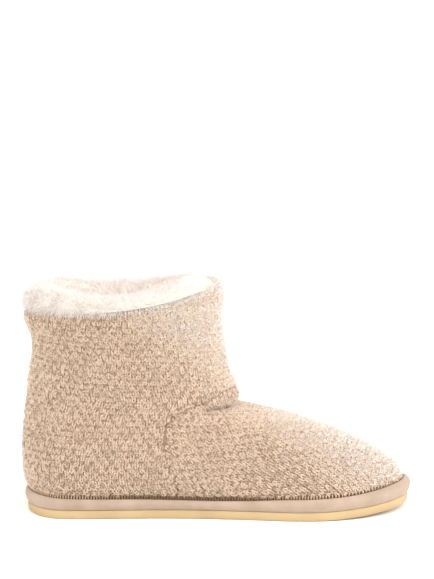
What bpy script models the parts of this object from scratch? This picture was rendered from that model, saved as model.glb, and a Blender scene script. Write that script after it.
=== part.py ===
"""Knit slipper boot, right foot: a knitted upper on a wrapped midsole, a thin foam
outsole, a pile insole and a deep fur collar. Metres, +Z up, the toe towards +X and the
outer side of the foot towards -Y. The origin is on the floor, under the middle of the
sole.

Run with: blender --background --python part.py
"""

import math

import bpy
import numpy as np

# ---------------------------------------------------------------- driving dimensions

SOLE_LENGTH = 0.258  # outsole, heel to toe
HEEL_ROUND = 0.026  # length of the round end of the heel
TOE_ROUND = 0.070  # length of the round end of the toe
TOE_FULLNESS = 2.1  # 2 is an ellipse, more is blunter
TOE_SPRING = 0.0047  # rise of the outsole at the tip of the toe
SPRING_START = 0.056  # the outsole is flat on the floor behind this x
SPRING_POWER = 2.0

OUTSOLE_THICKNESS = 0.0062
JOINT_GAP = 0.0003  # between two pieces that touch
UPPER_WALL = 0.0026  # knit with its backing
FEATHER_INSET = 0.0024  # the upper's lower edge, inside the sole outline
FEATHER_HEM = 0.0022  # the lower edge stands straight up this far
INSOLE_INSET = 0.0058
INSOLE_THICKNESS = 0.0050
INSOLE_ROUND = 0.0018  # the insole's rounded upper edge
INSOLE_TOE_LEAN = 0.0042  # the insole's edge leans in under the low toe
SHAFT_EGG = 0.05  # how much wider the shaft is at the back than in front
FRONT_GATHER = 0.49  # how far the walls of the forefoot gather to the shaft's front
SWELL_POWER = 0.52  # under 1 the upper bellies out low over the rand

STATIONS_ROUND = 56  # points round the sole and the upper
WALL_LEVELS = 10  # steps from the hem to the instep crease
SHAFT_LEVELS = 15  # steps from the instep crease to the rim
COLLAR_STATIONS = 80  # points round the fur collar

# The sole and the wall above it, from heel (station 0) to toe (station 1). The rand is the
# wrapped edge of the midsole. Overhang is how far the upper bellies out over it, fullness
# is the power of the upper's arch, and drape tells a standing wall (0) from a wall that
# folds over the foot (1).
SOLE_COLUMNS = (
    "station", "half_width", "centre", "rand_height", "overhang", "fullness", "drape",
)
SOLE = (
    (0.00, 0.0335, 0.0000, 0.0096, 0.0056, 2.20, 0.0),
    (0.15, 0.0342, 0.0000, 0.0090, 0.0050, 2.20, 0.0),
    (0.40, 0.0338, 0.0012, 0.0083, 0.0042, 2.10, 0.0),
    (0.55, 0.0385, 0.0028, 0.0083, 0.0036, 1.90, 0.4),
    (0.70, 0.0452, 0.0042, 0.0083, 0.0030, 1.65, 0.9),
    (0.85, 0.0458, 0.0054, 0.0090, 0.0026, 1.50, 1.0),
    (1.00, 0.0430, 0.0062, 0.0102, 0.0020, 1.42, 1.0),
)

# Rings of the shaft, from the instep crease to the rim. Back is at the heel, front is over
# the instep, and the dip is how far a ring sinks at the sides.
CREASE, FOLD, ROLL, ROLL_TOP, ANKLE, LEG, NECK, COLLAR_LOW, COLLAR, RIM = range(10)
SHAFT_COLUMNS = ("ring", "back_x", "back_z", "front_x", "front_z", "half_width", "dip")
SHAFT = (
    (CREASE, -0.1303, 0.0745, 0.0102, 0.0718, 0.0402, 0.0000),
    (FOLD, -0.1300, 0.0785, 0.0135, 0.0762, 0.0405, 0.0000),
    (ROLL, -0.1297, 0.0825, 0.0147, 0.0805, 0.0409, 0.0000),
    (ROLL_TOP, -0.1290, 0.0890, 0.0120, 0.0872, 0.0416, 0.0000),
    (ANKLE, -0.1278, 0.0970, 0.0078, 0.0960, 0.0424, 0.0000),
    (LEG, -0.1258, 0.1110, 0.0046, 0.1125, 0.0438, 0.0010),
    (NECK, -0.1268, 0.1215, 0.0018, 0.1320, 0.0454, 0.0025),
    (COLLAR_LOW, -0.1300, 0.1290, 0.0026, 0.1420, 0.0475, 0.0038),
    (COLLAR, -0.1310, 0.1345, 0.0044, 0.1495, 0.0484, 0.0045),
    (RIM, -0.1288, 0.1398, 0.0012, 0.1556, 0.0468, 0.0045),
)

# Section of the outsole's edge: offset from the sole outline, and height.
OUTSOLE_EDGE_COLUMNS = ("row", "offset", "height")
OUTSOLE_EDGE = (
    ("tread", -0.0012, 0.0000),
    ("round", -0.0003, 0.0006),
    ("side", 0.0002, 0.0018),
    ("top", 0.0000, OUTSOLE_THICKNESS),
)

# Section of the wrapped midsole's edge: offset, and share of the rand's height.
MIDSOLE_EDGE_COLUMNS = ("row", "offset", "share")
MIDSOLE_EDGE = (
    ("foot", 0.0003, 0.00),
    ("lower", 0.0014, 0.20),
    ("bulge", 0.0022, 0.52),
    ("shoulder", 0.0018, 0.80),
    ("lip", 0.0005, 1.00),
    ("lip_inside", -0.0010, 0.93),
    ("channel", -0.0017, 0.70),
)
CHANNEL_SHARE = 0.70  # the channel that the upper stands in

# Section of the fur collar, up inside the shaft, over the rim and down again. A row is
# placed from a ring of the shaft: this far outwards and up, plus a share of the fur's
# height above the rim, and with a share of the depth of its locks.
COLLAR_COLUMNS = ("ring", "out", "up", "height_share", "lock_share")
COLLAR_SECTION = (
    (NECK, -0.0034, 0.0000, 0.00, 0.0),
    (COLLAR_LOW, -0.0036, 0.0000, 0.00, 0.0),
    (COLLAR, -0.0034, 0.0000, 0.00, 0.0),
    (RIM, -0.0034, -0.0016, 0.00, 0.0),
    (RIM, -0.0024, 0.0007, 0.00, 0.0),
    (RIM, 0.0004, 0.0007, 0.00, 0.2),
    (RIM, 0.0019, 0.0003, 0.05, 0.6),
    (RIM, 0.0021, 0.0006, 0.38, 1.0),
    (RIM, 0.0002, 0.0000, 0.74, 1.0),
    (RIM, -0.0036, 0.0000, 0.98, 1.0),
    (RIM, -0.0078, 0.0000, 0.96, 1.0),
    (RIM, -0.0112, 0.0000, 0.66, 1.0),
    (RIM, -0.0130, 0.0000, 0.20, 0.8),
    (COLLAR, -0.0142, -0.0020, 0.00, 0.5),
    (COLLAR_LOW, -0.0128, -0.0020, 0.00, 0.3),
    (NECK, -0.0095, 0.0000, 0.00, 0.1),
)

# Fur round the collar, from the back (station 0) to the front (station 1): its rise above
# the rim, and how far it leans out over it.
FUR_COLUMNS = ("station", "height", "lean")
FUR = (
    (0.00, 0.0150, 0.0012),
    (0.12, 0.0156, 0.0010),
    (0.30, 0.0112, 0.0002),
    (0.50, 0.0080, -0.0004),
    (0.75, 0.0070, -0.0008),
    (0.90, 0.0066, -0.0018),
    (1.00, 0.0026, -0.0044),
)
COLLAR_LOCKS = 20  # clumps of fur round the collar
LOCK_DEPTH = 0.0018  # how far a clump stands out of the grooves beside it
LOCK_SLANT = 0.9  # how far a clump slants round the collar, in clump widths
LOCK_UNEVENNESS = 0.35  # how much one clump differs from the next

FINISHES = {
    # colour in linear light, and roughness
    "outsole_foam": ((0.807, 0.570, 0.292), 0.72),
    "rand_suedette": ((0.620, 0.468, 0.371), 0.60),
    "insole_pile": ((0.905, 0.855, 0.790), 0.95),
    "upper_knit": ((0.665, 0.500, 0.371), 0.95),
    "collar_fur": ((0.930, 0.885, 0.830), 0.95),
}


# ---------------------------------------------------------------- tables and curves


def column(table, names, name):
    """One named column of a table."""
    return np.array([row[names.index(name)] for row in table], dtype=float)


def follow(table, names, name, at):
    """A smooth curve through one column, read against the table's first column."""
    x = column(table, names, names[0])
    y = column(table, names, name)
    slope = np.gradient(y, x)
    k = np.clip(np.searchsorted(x, at, side="right") - 1, 0, len(x) - 2)
    span = x[k + 1] - x[k]
    t = (at - x[k]) / span
    rise = (y[k + 1] - y[k]) * t * t * (3 - 2 * t)
    leave = slope[k] * span * t * (1 - t) ** 2
    arrive = slope[k + 1] * span * t * t * (t - 1)
    return y[k] + rise + leave + arrive


def along_sole(name, station):
    """A value of the sole table at a station from heel (0) to toe (1)."""
    return follow(SOLE, SOLE_COLUMNS, name, station)


def round_angles(count):
    """Angles from the heel, over the outer side, to the toe and back."""
    return np.arange(count) * 2 * math.pi / count


def station_at(angle):
    """Share of the length, back to front, that an angle stands at."""
    return (1 - np.cos(angle)) / 2


def round_end(distance, length, power):
    """Share of the full width at a distance from a rounded end."""
    inside = 1 - np.clip(distance / length, 0, 1)
    return (1 - inside**power) ** (1 / power)


def sole_outline(angle):
    """Points (x, y) of the sole's outline, and their outward directions."""
    station = station_at(angle)
    x = (station - 0.5) * SOLE_LENGTH
    width = along_sole("half_width", station)
    width = width * round_end(station * SOLE_LENGTH, HEEL_ROUND, 2)
    width = width * round_end((1 - station) * SOLE_LENGTH, TOE_ROUND, TOE_FULLNESS)
    y = along_sole("centre", station) - width * np.sign(np.sin(angle))
    points = np.stack([x, y], axis=1)
    tangent = np.roll(points, -1, axis=0) - np.roll(points, 1, axis=0)
    tangent /= np.linalg.norm(tangent, axis=1)[:, None]
    outward = np.stack([tangent[:, 1], -tangent[:, 0]], axis=1)
    return points, outward


def spring(x):
    """Height of the outsole's underside above the floor."""
    run = SOLE_LENGTH / 2 - SPRING_START
    return TOE_SPRING * np.clip((x - SPRING_START) / run, 0, None) ** SPRING_POWER


def midsole_height(station, x, share):
    """Height above the floor of a share of the wrapped midsole."""
    rand = along_sole("rand_height", station)
    return spring(x) + OUTSOLE_THICKNESS + JOINT_GAP + share * rand


def outsole_ring(angle, offset, height):
    """A ring round the outsole."""
    points, outward = sole_outline(angle)
    flat = points + offset * outward
    return np.column_stack([flat, spring(flat[:, 0]) + height])


def midsole_ring(angle, offset, share, up=0.0):
    """A ring round the midsole, or raised above it."""
    points, outward = sole_outline(angle)
    flat = points + offset * outward
    height = midsole_height(station_at(angle), flat[:, 0], share)
    return np.column_stack([flat, height + up])


# ---------------------------------------------------------------- the upper's surface


def shaft_ring(level, angle):
    """A ring of the shaft at a level from CREASE to RIM. Angle 0 is its back."""
    row = {n: follow(SHAFT, SHAFT_COLUMNS, n, level) for n in SHAFT_COLUMNS[1:]}
    middle = (row["back_x"] + row["front_x"]) / 2
    reach = (row["front_x"] - row["back_x"]) / 2
    width = row["half_width"] * (1 + SHAFT_EGG * np.cos(angle))
    rise = (row["front_z"] - row["back_z"]) * station_at(angle)
    sink = row["dip"] * np.sin(angle) ** 2
    return np.column_stack(
        [
            middle - reach * np.cos(angle),
            -width * np.sin(angle),
            row["back_z"] + rise - sink,
        ]
    )


def shaft_outward(angle):
    """Outward directions, seen from above, round the shaft."""
    length, width, _ = np.ptp(shaft_ring(float(RIM), angle), axis=0)
    away = np.column_stack([-np.cos(angle) * width, -np.sin(angle) * length])
    return away / np.linalg.norm(away, axis=1)[:, None]


def wall_ring(angle, level):
    """A ring of the wall between the top of the hem (level 0) and the crease (level 1)."""
    station = station_at(angle)
    _, outward = sole_outline(angle)
    foot = midsole_ring(angle, -FEATHER_INSET, CHANNEL_SHARE, JOINT_GAP + FEATHER_HEM)
    crease = shaft_ring(float(CREASE), angle + FRONT_GATHER * np.sin(angle))
    power = 2 / along_sole("fullness", station)
    climb = np.sin(level * math.pi / 2) ** power
    arch = 1 - np.cos(level * math.pi / 2) ** power
    stand = climb * climb * (3 - 2 * climb)
    drape = np.clip(along_sole("drape", station), 0, 1)
    inward = drape * arch + (1 - drape) * stand
    ring = foot + (crease - foot) * np.column_stack([inward, inward, climb])
    swell = along_sole("overhang", station) * np.sin(math.pi * climb**SWELL_POWER)
    ring[:, :2] += outward * swell[:, None]
    return ring


def upper_rings(angle):
    """Every ring of the upper's outer face, from its lower edge to the rim."""
    hem = midsole_ring(angle, -FEATHER_INSET, CHANNEL_SHARE, JOINT_GAP)
    wall = [wall_ring(angle, k / WALL_LEVELS) for k in range(WALL_LEVELS)]
    gathered = angle + FRONT_GATHER * np.sin(angle)
    levels = np.linspace(CREASE, RIM, SHAFT_LEVELS + 1)
    return [hem] + wall + [shaft_ring(level, gathered) for level in levels]


# ---------------------------------------------------------------- the fur's surface


def lock_shape(angle, slant):
    """How far the fur stands out at each angle: rounded clumps with grooves between."""
    turns = angle * COLLAR_LOCKS / 2 + math.pi * slant
    clump = np.abs(np.sin(turns)) ** 0.7
    uneven = np.sin(3 * angle + 1.0) * np.sin(7 * angle + 2.2)
    return (clump - 0.6) * (1 + LOCK_UNEVENNESS * uneven)


def collar_rings(angle):
    """The rings of the fur collar, in the order of its section."""
    station = station_at(angle)
    height = follow(FUR, FUR_COLUMNS, "height", station)
    lean = follow(FUR, FUR_COLUMNS, "lean", station)
    outward = shaft_outward(angle)
    middle = sum(row[1] for row in COLLAR_SECTION) / len(COLLAR_SECTION)
    rings = []
    for k, (level, out, up, height_share, lock_share) in enumerate(COLLAR_SECTION):
        slant = LOCK_SLANT * k / len(COLLAR_SECTION)
        lock = LOCK_DEPTH * lock_share * lock_shape(angle, slant)
        side = 1 if out > middle else -1
        shift = out + lean * min(1.0, height_share * 2) + lock * side * (1 - height_share)
        ring = shaft_ring(float(level), angle)
        ring[:, :2] += outward * shift[:, None]
        ring[:, 2] += up + height_share * (height + lock)
        rings.append(ring)
    return rings


# ---------------------------------------------------------------- Blender helpers


def clear_scene():
    """Empty the file that the script runs in."""
    for old in list(bpy.data.objects):
        bpy.data.objects.remove(old, do_unlink=True)


def finish_of(name):
    """A material with the colour and roughness of one of the finishes."""
    colour, roughness = FINISHES[name]
    material = bpy.data.materials.new(name)
    material.use_nodes = True
    shader = material.node_tree.nodes["Principled BSDF"]
    shader.inputs["Base Color"].default_value = (*colour, 1.0)
    shader.inputs["Roughness"].default_value = roughness
    shader.inputs["Metallic"].default_value = 0.0
    return material


def bands(levels, count, closed):
    """Faces between rings that follow each other. Closed joins the last to the first."""
    faces = []
    for level in range(levels if closed else levels - 1):
        low = level * count
        high = (level + 1) % levels * count
        for k in range(count):
            n = (k + 1) % count
            faces.append((low + k, low + n, high + n, high + k))
    return faces


def cap(start, count):
    """Faces across a ring: strips from each outer point to the inner point beside it."""
    faces = []
    for k in range(count // 2):
        corners = (k, k + 1, (count - k - 1) % count, (count - k) % count)
        faces.append(tuple(dict.fromkeys(start + c for c in corners)))
    return faces


def add_piece(name, rings, faces, finish, collection):
    """An object with its own finish, from rings of points and the faces on them."""
    mesh = bpy.data.meshes.new(name)
    mesh.from_pydata(np.vstack(rings).tolist(), [], faces)
    mesh.materials.append(finish_of(finish))
    mesh.shade_smooth()
    mesh.set_sharp_from_angle(angle=math.radians(50))
    piece = bpy.data.objects.new(name, mesh)
    collection.objects.link(piece)
    return piece


def solid_of(name, rings, finish, collection):
    """A solid through rings, flat at both ends."""
    count = len(rings[0])
    bottom = [face[::-1] for face in cap(0, count)]
    top = cap((len(rings) - 1) * count, count)
    faces = bands(len(rings), count, closed=False) + bottom + top
    return add_piece(name, rings, faces, finish, collection)


# ---------------------------------------------------------------- the pieces


def make_outsole(collection):
    """The foam outsole: flat under heel and ball, sprung up at the toe."""
    angle = round_angles(STATIONS_ROUND)
    rings = [outsole_ring(angle, offset, height) for _, offset, height in OUTSOLE_EDGE]
    return solid_of("outsole", rings, "outsole_foam", collection)


def make_midsole(collection):
    """The wrapped midsole, whose rand stands up as a lip round a channel."""
    angle = round_angles(STATIONS_ROUND)
    rings = [midsole_ring(angle, offset, share) for _, offset, share in MIDSOLE_EDGE]
    return solid_of("midsole", rings, "rand_suedette", collection)


def make_insole(collection):
    """The pile insole that lies on the midsole, inside the upper."""
    angle = round_angles(STATIONS_ROUND)
    toe_lean = INSOLE_TOE_LEAN * station_at(angle)[:, None] ** 4
    rings = []
    for round_in, share in ((0.0, 0.0), (0.0, 0.7), (INSOLE_ROUND, 1.0)):
        inset = INSOLE_INSET + round_in + toe_lean * share
        up = JOINT_GAP + share * INSOLE_THICKNESS
        rings.append(midsole_ring(angle, -inset, CHANNEL_SHARE, up))
    return solid_of("insole", rings, "insole_pile", collection)


def make_upper(collection):
    """The knitted upper: one wall, open at the collar and underneath."""
    rings = upper_rings(round_angles(STATIONS_ROUND))
    faces = bands(len(rings), STATIONS_ROUND, closed=False)
    upper = add_piece("upper", rings, faces, "upper_knit", collection)
    wall = upper.modifiers.new("knit_wall", "SOLIDIFY")
    wall.thickness = UPPER_WALL
    wall.offset = -1.0
    wall.use_rim = True
    return upper


def make_fur_collar(collection):
    """The roll of deep fur on the rim, with its skirt inside the shaft."""
    rings = collar_rings(round_angles(COLLAR_STATIONS))
    faces = bands(len(rings), COLLAR_STATIONS, closed=True)
    return add_piece("fur_collar", rings, faces, "collar_fur", collection)


def main():
    clear_scene()
    slipper = bpy.data.collections.new("knit_slipper_boot")
    bpy.context.scene.collection.children.link(slipper)
    make_outsole(slipper)
    make_midsole(slipper)
    make_insole(slipper)
    make_upper(slipper)
    make_fur_collar(slipper)


main()
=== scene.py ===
"""Knit slipper boot, right foot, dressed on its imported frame.

Metres, +Z up, the toe towards +X and the outer side of the foot towards -Y. The last holds
the form that the sole, the upper, the lining and the fur all follow. Every sub-assembly
builds its pieces from it, dresses them and says which node of the frame they stand for.
"""

from __future__ import annotations

import logging
import math
from dataclasses import dataclass, field, replace
from enum import Enum
from functools import cache

import bpy
import numpy as np
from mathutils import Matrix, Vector
from mathutils.bvhtree import BVHTree

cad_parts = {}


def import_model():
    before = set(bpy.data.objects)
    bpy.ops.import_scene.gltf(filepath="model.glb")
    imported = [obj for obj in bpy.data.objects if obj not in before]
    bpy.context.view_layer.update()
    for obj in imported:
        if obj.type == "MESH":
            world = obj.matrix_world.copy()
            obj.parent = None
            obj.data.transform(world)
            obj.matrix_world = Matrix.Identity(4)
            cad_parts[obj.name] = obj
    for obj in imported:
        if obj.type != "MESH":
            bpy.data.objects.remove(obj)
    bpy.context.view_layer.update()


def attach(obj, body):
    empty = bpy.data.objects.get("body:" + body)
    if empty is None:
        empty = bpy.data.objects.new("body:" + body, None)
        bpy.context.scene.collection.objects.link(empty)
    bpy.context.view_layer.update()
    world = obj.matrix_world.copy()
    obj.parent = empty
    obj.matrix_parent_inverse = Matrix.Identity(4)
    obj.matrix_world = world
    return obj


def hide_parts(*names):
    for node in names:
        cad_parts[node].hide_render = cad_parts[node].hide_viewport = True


Array = np.ndarray
Piece = bpy.types.Object
Tree = bpy.types.NodeTree
Socket = bpy.types.NodeSocket
Triple = tuple[float, float, float]
MM = 0.001
log = logging.getLogger("knit_slipper")


# ================================================================ small shared helpers


def linear(hex_colour: str) -> tuple[float, float, float, float]:
    """Turn an sRGB hex colour to linear light.

    Args:
        hex_colour: six hex digits, such as "E4C9AF".

    Returns:
        Linear red, green and blue, and an alpha of 1.
    """
    channels = [int(hex_colour[k : k + 2], 16) / 255 for k in (0, 2, 4)]
    mixed = [c / 12.92 if c <= 0.04045 else ((c + 0.055) / 1.055) ** 2.4 for c in channels]
    return (*mixed, 1.0)


def add_node(
    tree: Tree,
    kind: str,
    settings: dict[str, object] | None = None,
    links: dict[str | int, object] | None = None,
) -> bpy.types.Node:
    """Add a node to a tree, set it up and link it.

    Args:
        tree: the shader or geometry tree.
        kind: the node's type name.
        settings: values of the node's own properties.
        links: an input's name or number, with the output that feeds it or its value.

    Returns:
        The new node.
    """
    node = tree.nodes.new(kind)
    for name, value in (settings or {}).items():
        setattr(node, name, value)
    for key, value in (links or {}).items():
        if isinstance(value, Socket):
            tree.links.new(value, node.inputs[key])
        else:
            node.inputs[key].default_value = value
    return node


def smooth_step(low: float, high: float, at: Array) -> Array:
    """Rise smoothly from 0 at low to 1 at high, which may be below low."""
    t = np.clip((at - low) / (high - low), 0, 1)
    return t * t * (3 - 2 * t)


def turns(count: int) -> Array:
    """Space angles evenly once round. On the last they go from the heel over the outer side."""
    return np.arange(count) * 2 * math.pi / count


def unit(vectors: Array) -> Array:
    """Scale vectors to a length of one."""
    return vectors / np.maximum(np.linalg.norm(vectors, axis=-1, keepdims=True), 1e-12)


@dataclass(frozen=True)
class Table:
    """A short table with named columns, read as smooth curves against the first one."""

    columns: tuple[str, ...]
    rows: tuple[tuple[float, ...], ...]

    def column(self, name: str) -> Array:
        """Give one column's values."""
        at = self.columns.index(name)
        return np.array([row[at] for row in self.rows], dtype=float)

    def places(self, count: int) -> Array:
        """Space places evenly from the first row to the last."""
        return np.linspace(self.rows[0][0], self.rows[-1][0], count)

    def follow(self, name: str, at: Array | float) -> Array:
        """Read a smooth curve through one column.

        Args:
            name: the column.
            at: where to read it, in values of the first column.

        Returns:
            The curve's value at each place.
        """
        x = self.column(self.columns[0])
        y = self.column(name)
        slope = np.gradient(y, x)
        at = np.asarray(at, dtype=float)
        k = np.clip(np.searchsorted(x, at, side="right") - 1, 0, len(x) - 2)
        span = x[k + 1] - x[k]
        t = (at - x[k]) / span
        rise = (y[k + 1] - y[k]) * t * t * (3 - 2 * t)
        leave = slope[k] * span * t * (1 - t) ** 2
        arrive = slope[k + 1] * span * t * t * (t - 1)
        return y[k] + rise + leave + arrive

    def read(self, at: Array | float) -> dict[str, Array]:
        """Read the curves through all columns but the first, by their names."""
        return {name: self.follow(name, at) for name in self.columns[1:]}


def grid_faces(rows: int, columns: int, around: bool = True, wrap_rows: bool = False) -> Array:
    """Number the faces of a grid of points that is stored row by row.

    Args:
        rows: how many rows of points.
        columns: how many points in a row.
        around: whether each row is a closed ring.
        wrap_rows: whether the last row joins the first.

    Returns:
        Four point numbers for each face.
    """
    low = np.arange(rows if wrap_rows else rows - 1)[:, None] * columns
    high = (low + columns) % (rows * columns)
    here = np.arange(columns if around else columns - 1)[None, :]
    there = (here + 1) % columns
    return np.stack([low + here, low + there, high + there, high + here], -1).reshape(-1, 4)


def across(start: int, count: int) -> list[tuple[int, ...]]:
    """Close a ring with strips from each outer point to the inner point beside it.

    Args:
        start: the number of the ring's first point.
        count: how many points it has.

    Returns:
        The faces.
    """
    faces = []
    for k in range(count // 2):
        corners = (k, k + 1, (count - k - 1) % count, (count - k) % count)
        faces.append(tuple(dict.fromkeys(start + c for c in corners)))
    return faces


def capped(rings: Array) -> list[tuple[int, ...]]:
    """Number the faces of a solid through rings, flat at both ends.

    Args:
        rings: the points, as rings by angles by three.

    Returns:
        The faces.
    """
    levels, count = rings.shape[:2]
    bottom = [face[::-1] for face in across(0, count)]
    return [*grid_faces(levels, count).tolist(), *bottom, *across((levels - 1) * count, count)]


def surface_normals(rings: Array, wrap_rows: bool = False) -> Array:
    """Work out the outward normals of a grid of points.

    Args:
        rings: the points, as rings by angles by three.
        wrap_rows: whether the last ring joins the first.

    Returns:
        A unit normal for each point.
    """
    if wrap_rows:
        up = np.roll(rings, -1, axis=0) - np.roll(rings, 1, axis=0)
    else:
        up = np.gradient(rings, axis=0)
    along = np.roll(rings, -1, axis=1) - np.roll(rings, 1, axis=1)
    return unit(np.cross(along, up))


def add_object(name: str, data: bpy.types.ID | None) -> Piece:
    """Make an object of some data and link it to the scene.

    Args:
        name: the object's name.
        data: its mesh, curve, camera or lamp.

    Returns:
        The object.
    """
    item = bpy.data.objects.new(name, data)
    bpy.context.scene.collection.objects.link(item)
    return item


def make_piece(name: str, points: Array, faces: list | Array, finish: Dressing) -> Piece:
    """Make a smooth mesh object at the origin.

    Args:
        name: the piece's name.
        points: its points, in metres.
        faces: the point numbers of each face.
        finish: its finish.

    Returns:
        The object, linked to the scene.
    """
    mesh = bpy.data.meshes.new(name)
    mesh.from_pydata(np.asarray(points).reshape(-1, 3).tolist(), [], [list(map(int, f)) for f in faces])
    mesh.materials.append(finish.material())
    mesh.shade_smooth()
    return add_object(name, mesh)


def store(piece: Piece, name: str, values: Array) -> None:
    """Store a value for each point of a piece.

    Args:
        piece: the piece.
        name: the attribute's name.
        values: a row for each point, with three numbers for a vector or else one.
    """
    kind, key = ("FLOAT_VECTOR", "vector") if values.shape[-1] == 3 else ("FLOAT", "value")
    layer = piece.data.attributes.new(name, kind, "POINT")
    layer.data.foreach_set(key, np.ascontiguousarray(values, dtype=np.float32).reshape(-1))


def ride(piece: Piece, slot: str, *nodes: str) -> Piece:
    """Fasten a finished piece to the slipper.

    Args:
        piece: the piece.
        slot: a material slot's name; not used.
        *nodes: the nodes of the frame that it stands for.

    Returns:
        The piece.
    """
    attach(piece, "root")
    if nodes:
        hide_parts(*nodes)
    return piece


# ================================================================ the last


class Ring(float, Enum):
    """The named rings of the shaft, from the instep crease up to the rim."""

    CREASE = 0.0
    FOLD = 1.0
    ROLL = 2.0
    ROLL_TOP = 3.0
    ANKLE = 4.0
    LEG = 5.0
    NECK = 6.0
    COLLAR_LOW = 7.0
    COLLAR = 8.0
    RIM = 9.0


@dataclass(frozen=True)
class Last:
    """The form that the whole slipper follows, in the sizes of its frame."""

    sole_length: float = 258 * MM
    heel_round: float = 26 * MM
    toe_round: float = 70 * MM
    toe_fullness: float = 2.1
    toe_spring: float = 4.7 * MM
    spring_start: float = 56 * MM
    spring_power: float = 2.0
    outsole_thickness: float = 6.2 * MM
    joint_gap: float = 0.3 * MM
    feather_inset: float = 2.4 * MM
    feather_hem: float = 2.2 * MM
    channel_share: float = 0.70
    shaft_egg: float = 0.05
    front_gather: float = 0.49
    swell_power: float = 0.52
    sole: Table = Table(
        ("station", "half_width", "centre", "rand_height", "overhang", "fullness", "drape"),
        (
            (0.00, 0.0335, 0.0000, 0.0096, 0.0056, 2.20, 0.0),
            (0.15, 0.0342, 0.0000, 0.0090, 0.0050, 2.20, 0.0),
            (0.40, 0.0338, 0.0012, 0.0083, 0.0042, 2.10, 0.0),
            (0.55, 0.0385, 0.0028, 0.0083, 0.0036, 1.90, 0.4),
            (0.70, 0.0452, 0.0042, 0.0083, 0.0030, 1.65, 0.9),
            (0.85, 0.0458, 0.0054, 0.0090, 0.0026, 1.50, 1.0),
            (1.00, 0.0430, 0.0062, 0.0102, 0.0020, 1.42, 1.0),
        ),
    )
    shaft: Table = Table(
        ("ring", "back_x", "back_z", "front_x", "front_z", "half_width", "dip"),
        (
            (Ring.CREASE, -0.1303, 0.0745, 0.0102, 0.0718, 0.0402, 0.0000),
            (Ring.FOLD, -0.1300, 0.0785, 0.0135, 0.0762, 0.0405, 0.0000),
            (Ring.ROLL, -0.1297, 0.0825, 0.0147, 0.0805, 0.0409, 0.0000),
            (Ring.ROLL_TOP, -0.1290, 0.0890, 0.0120, 0.0872, 0.0416, 0.0000),
            (Ring.ANKLE, -0.1278, 0.0970, 0.0078, 0.0960, 0.0424, 0.0000),
            (Ring.LEG, -0.1258, 0.1110, 0.0046, 0.1125, 0.0438, 0.0010),
            (Ring.NECK, -0.1268, 0.1215, 0.0018, 0.1320, 0.0454, 0.0025),
            (Ring.COLLAR_LOW, -0.1300, 0.1290, 0.0026, 0.1420, 0.0475, 0.0038),
            (Ring.COLLAR, -0.1310, 0.1345, 0.0044, 0.1495, 0.0484, 0.0045),
            (Ring.RIM, -0.1288, 0.1398, 0.0012, 0.1556, 0.0468, 0.0045),
        ),
    )
    lip: Table = Table(
        ("station", "share"),
        (
            (0.00, 0.96),
            (0.08, 0.86),
            (0.30, 0.84),
            (0.50, 0.78),
            (0.58, 0.84),
            (0.66, 1.00),
            (0.78, 1.05),
            (0.90, 1.00),
            (1.00, 1.00),
        ),
    )

    @staticmethod
    def station(angle: Array) -> Array:
        """Give the share of the length, back to front, that an angle stands at."""
        return (1 - np.cos(angle)) / 2

    def toe(self, angle: Array, low: float = 0.80, high: float = 0.97) -> Array:
        """Rise from 0 to 1 between two stations near the toe."""
        return smooth_step(low, high, self.station(angle))

    def gathered(self, angle: Array) -> Array:
        """Give the shaft's angle above each angle of the sole."""
        return angle + self.front_gather * np.sin(angle)

    @staticmethod
    def round_end(distance: Array, length: float, power: float) -> Array:
        """Narrow a width towards a rounded end.

        Args:
            distance: how far each place is from the end.
            length: how long the round end is.
            power: 2 for an ellipse, more for a blunter end.

        Returns:
            The share of the full width at each place.
        """
        inside = 1 - np.clip(distance / length, 0, 1)
        return (1 - inside**power) ** (1 / power)

    def outline(self, angle: Array) -> tuple[Array, Array]:
        """Draw the sole's outline as seen from above.

        Args:
            angle: the angles to draw it at.

        Returns:
            Its points, and the outward direction at each.
        """
        station = self.station(angle)
        x = (station - 0.5) * self.sole_length
        width = self.sole.follow("half_width", station)
        width = width * self.round_end(station * self.sole_length, self.heel_round, 2)
        toe_distance = (1 - station) * self.sole_length
        width = width * self.round_end(toe_distance, self.toe_round, self.toe_fullness)
        y = self.sole.follow("centre", station) - width * np.sign(np.sin(angle))
        points = np.stack([x, y], axis=1)
        tangent = unit(np.roll(points, -1, axis=0) - np.roll(points, 1, axis=0))
        return points, np.stack([tangent[:, 1], -tangent[:, 0]], axis=1)

    def spring(self, x: Array) -> Array:
        """Give the height of the outsole's underside above the floor."""
        run = self.sole_length / 2 - self.spring_start
        return self.toe_spring * np.clip((x - self.spring_start) / run, 0, None) ** self.spring_power

    def outsole_ring(self, angle: Array, offset: float, height: float) -> Array:
        """Draw a ring round the outsole.

        Args:
            angle: the angles of its points.
            offset: how far it lies outside the sole's outline.
            height: how far it lies above the outsole's underside.

        Returns:
            Its points.
        """
        points, outward = self.outline(angle)
        flat = points + offset * outward
        return np.column_stack([flat, self.spring(flat[:, 0]) + height])

    def midsole_ring(
        self, angle: Array, offset: float | Array, share: float | Array, up: float | Array = 0.0
    ) -> Array:
        """Draw a ring round the midsole, or raised above it.

        Args:
            angle: the angles of its points.
            offset: how far it lies outside the sole's outline.
            share: its height as a share of the rand's height.
            up: how far it is raised above that.

        Returns:
            Its points.
        """
        points, outward = self.outline(angle)
        flat = points + np.broadcast_to(offset, angle.shape)[:, None] * outward
        rand = self.sole.follow("rand_height", self.station(angle))
        foot = self.spring(flat[:, 0]) + self.outsole_thickness + self.joint_gap
        return np.column_stack([flat, foot + share * rand + up])

    def lip_ring(self, angle: Array, offset: float | Array = 0.0) -> Array:
        """Draw a ring along the rand's lip, which the knit hides the more the lower it lies."""
        return self.midsole_ring(angle, offset, self.lip.follow("share", self.station(angle)))

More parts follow.
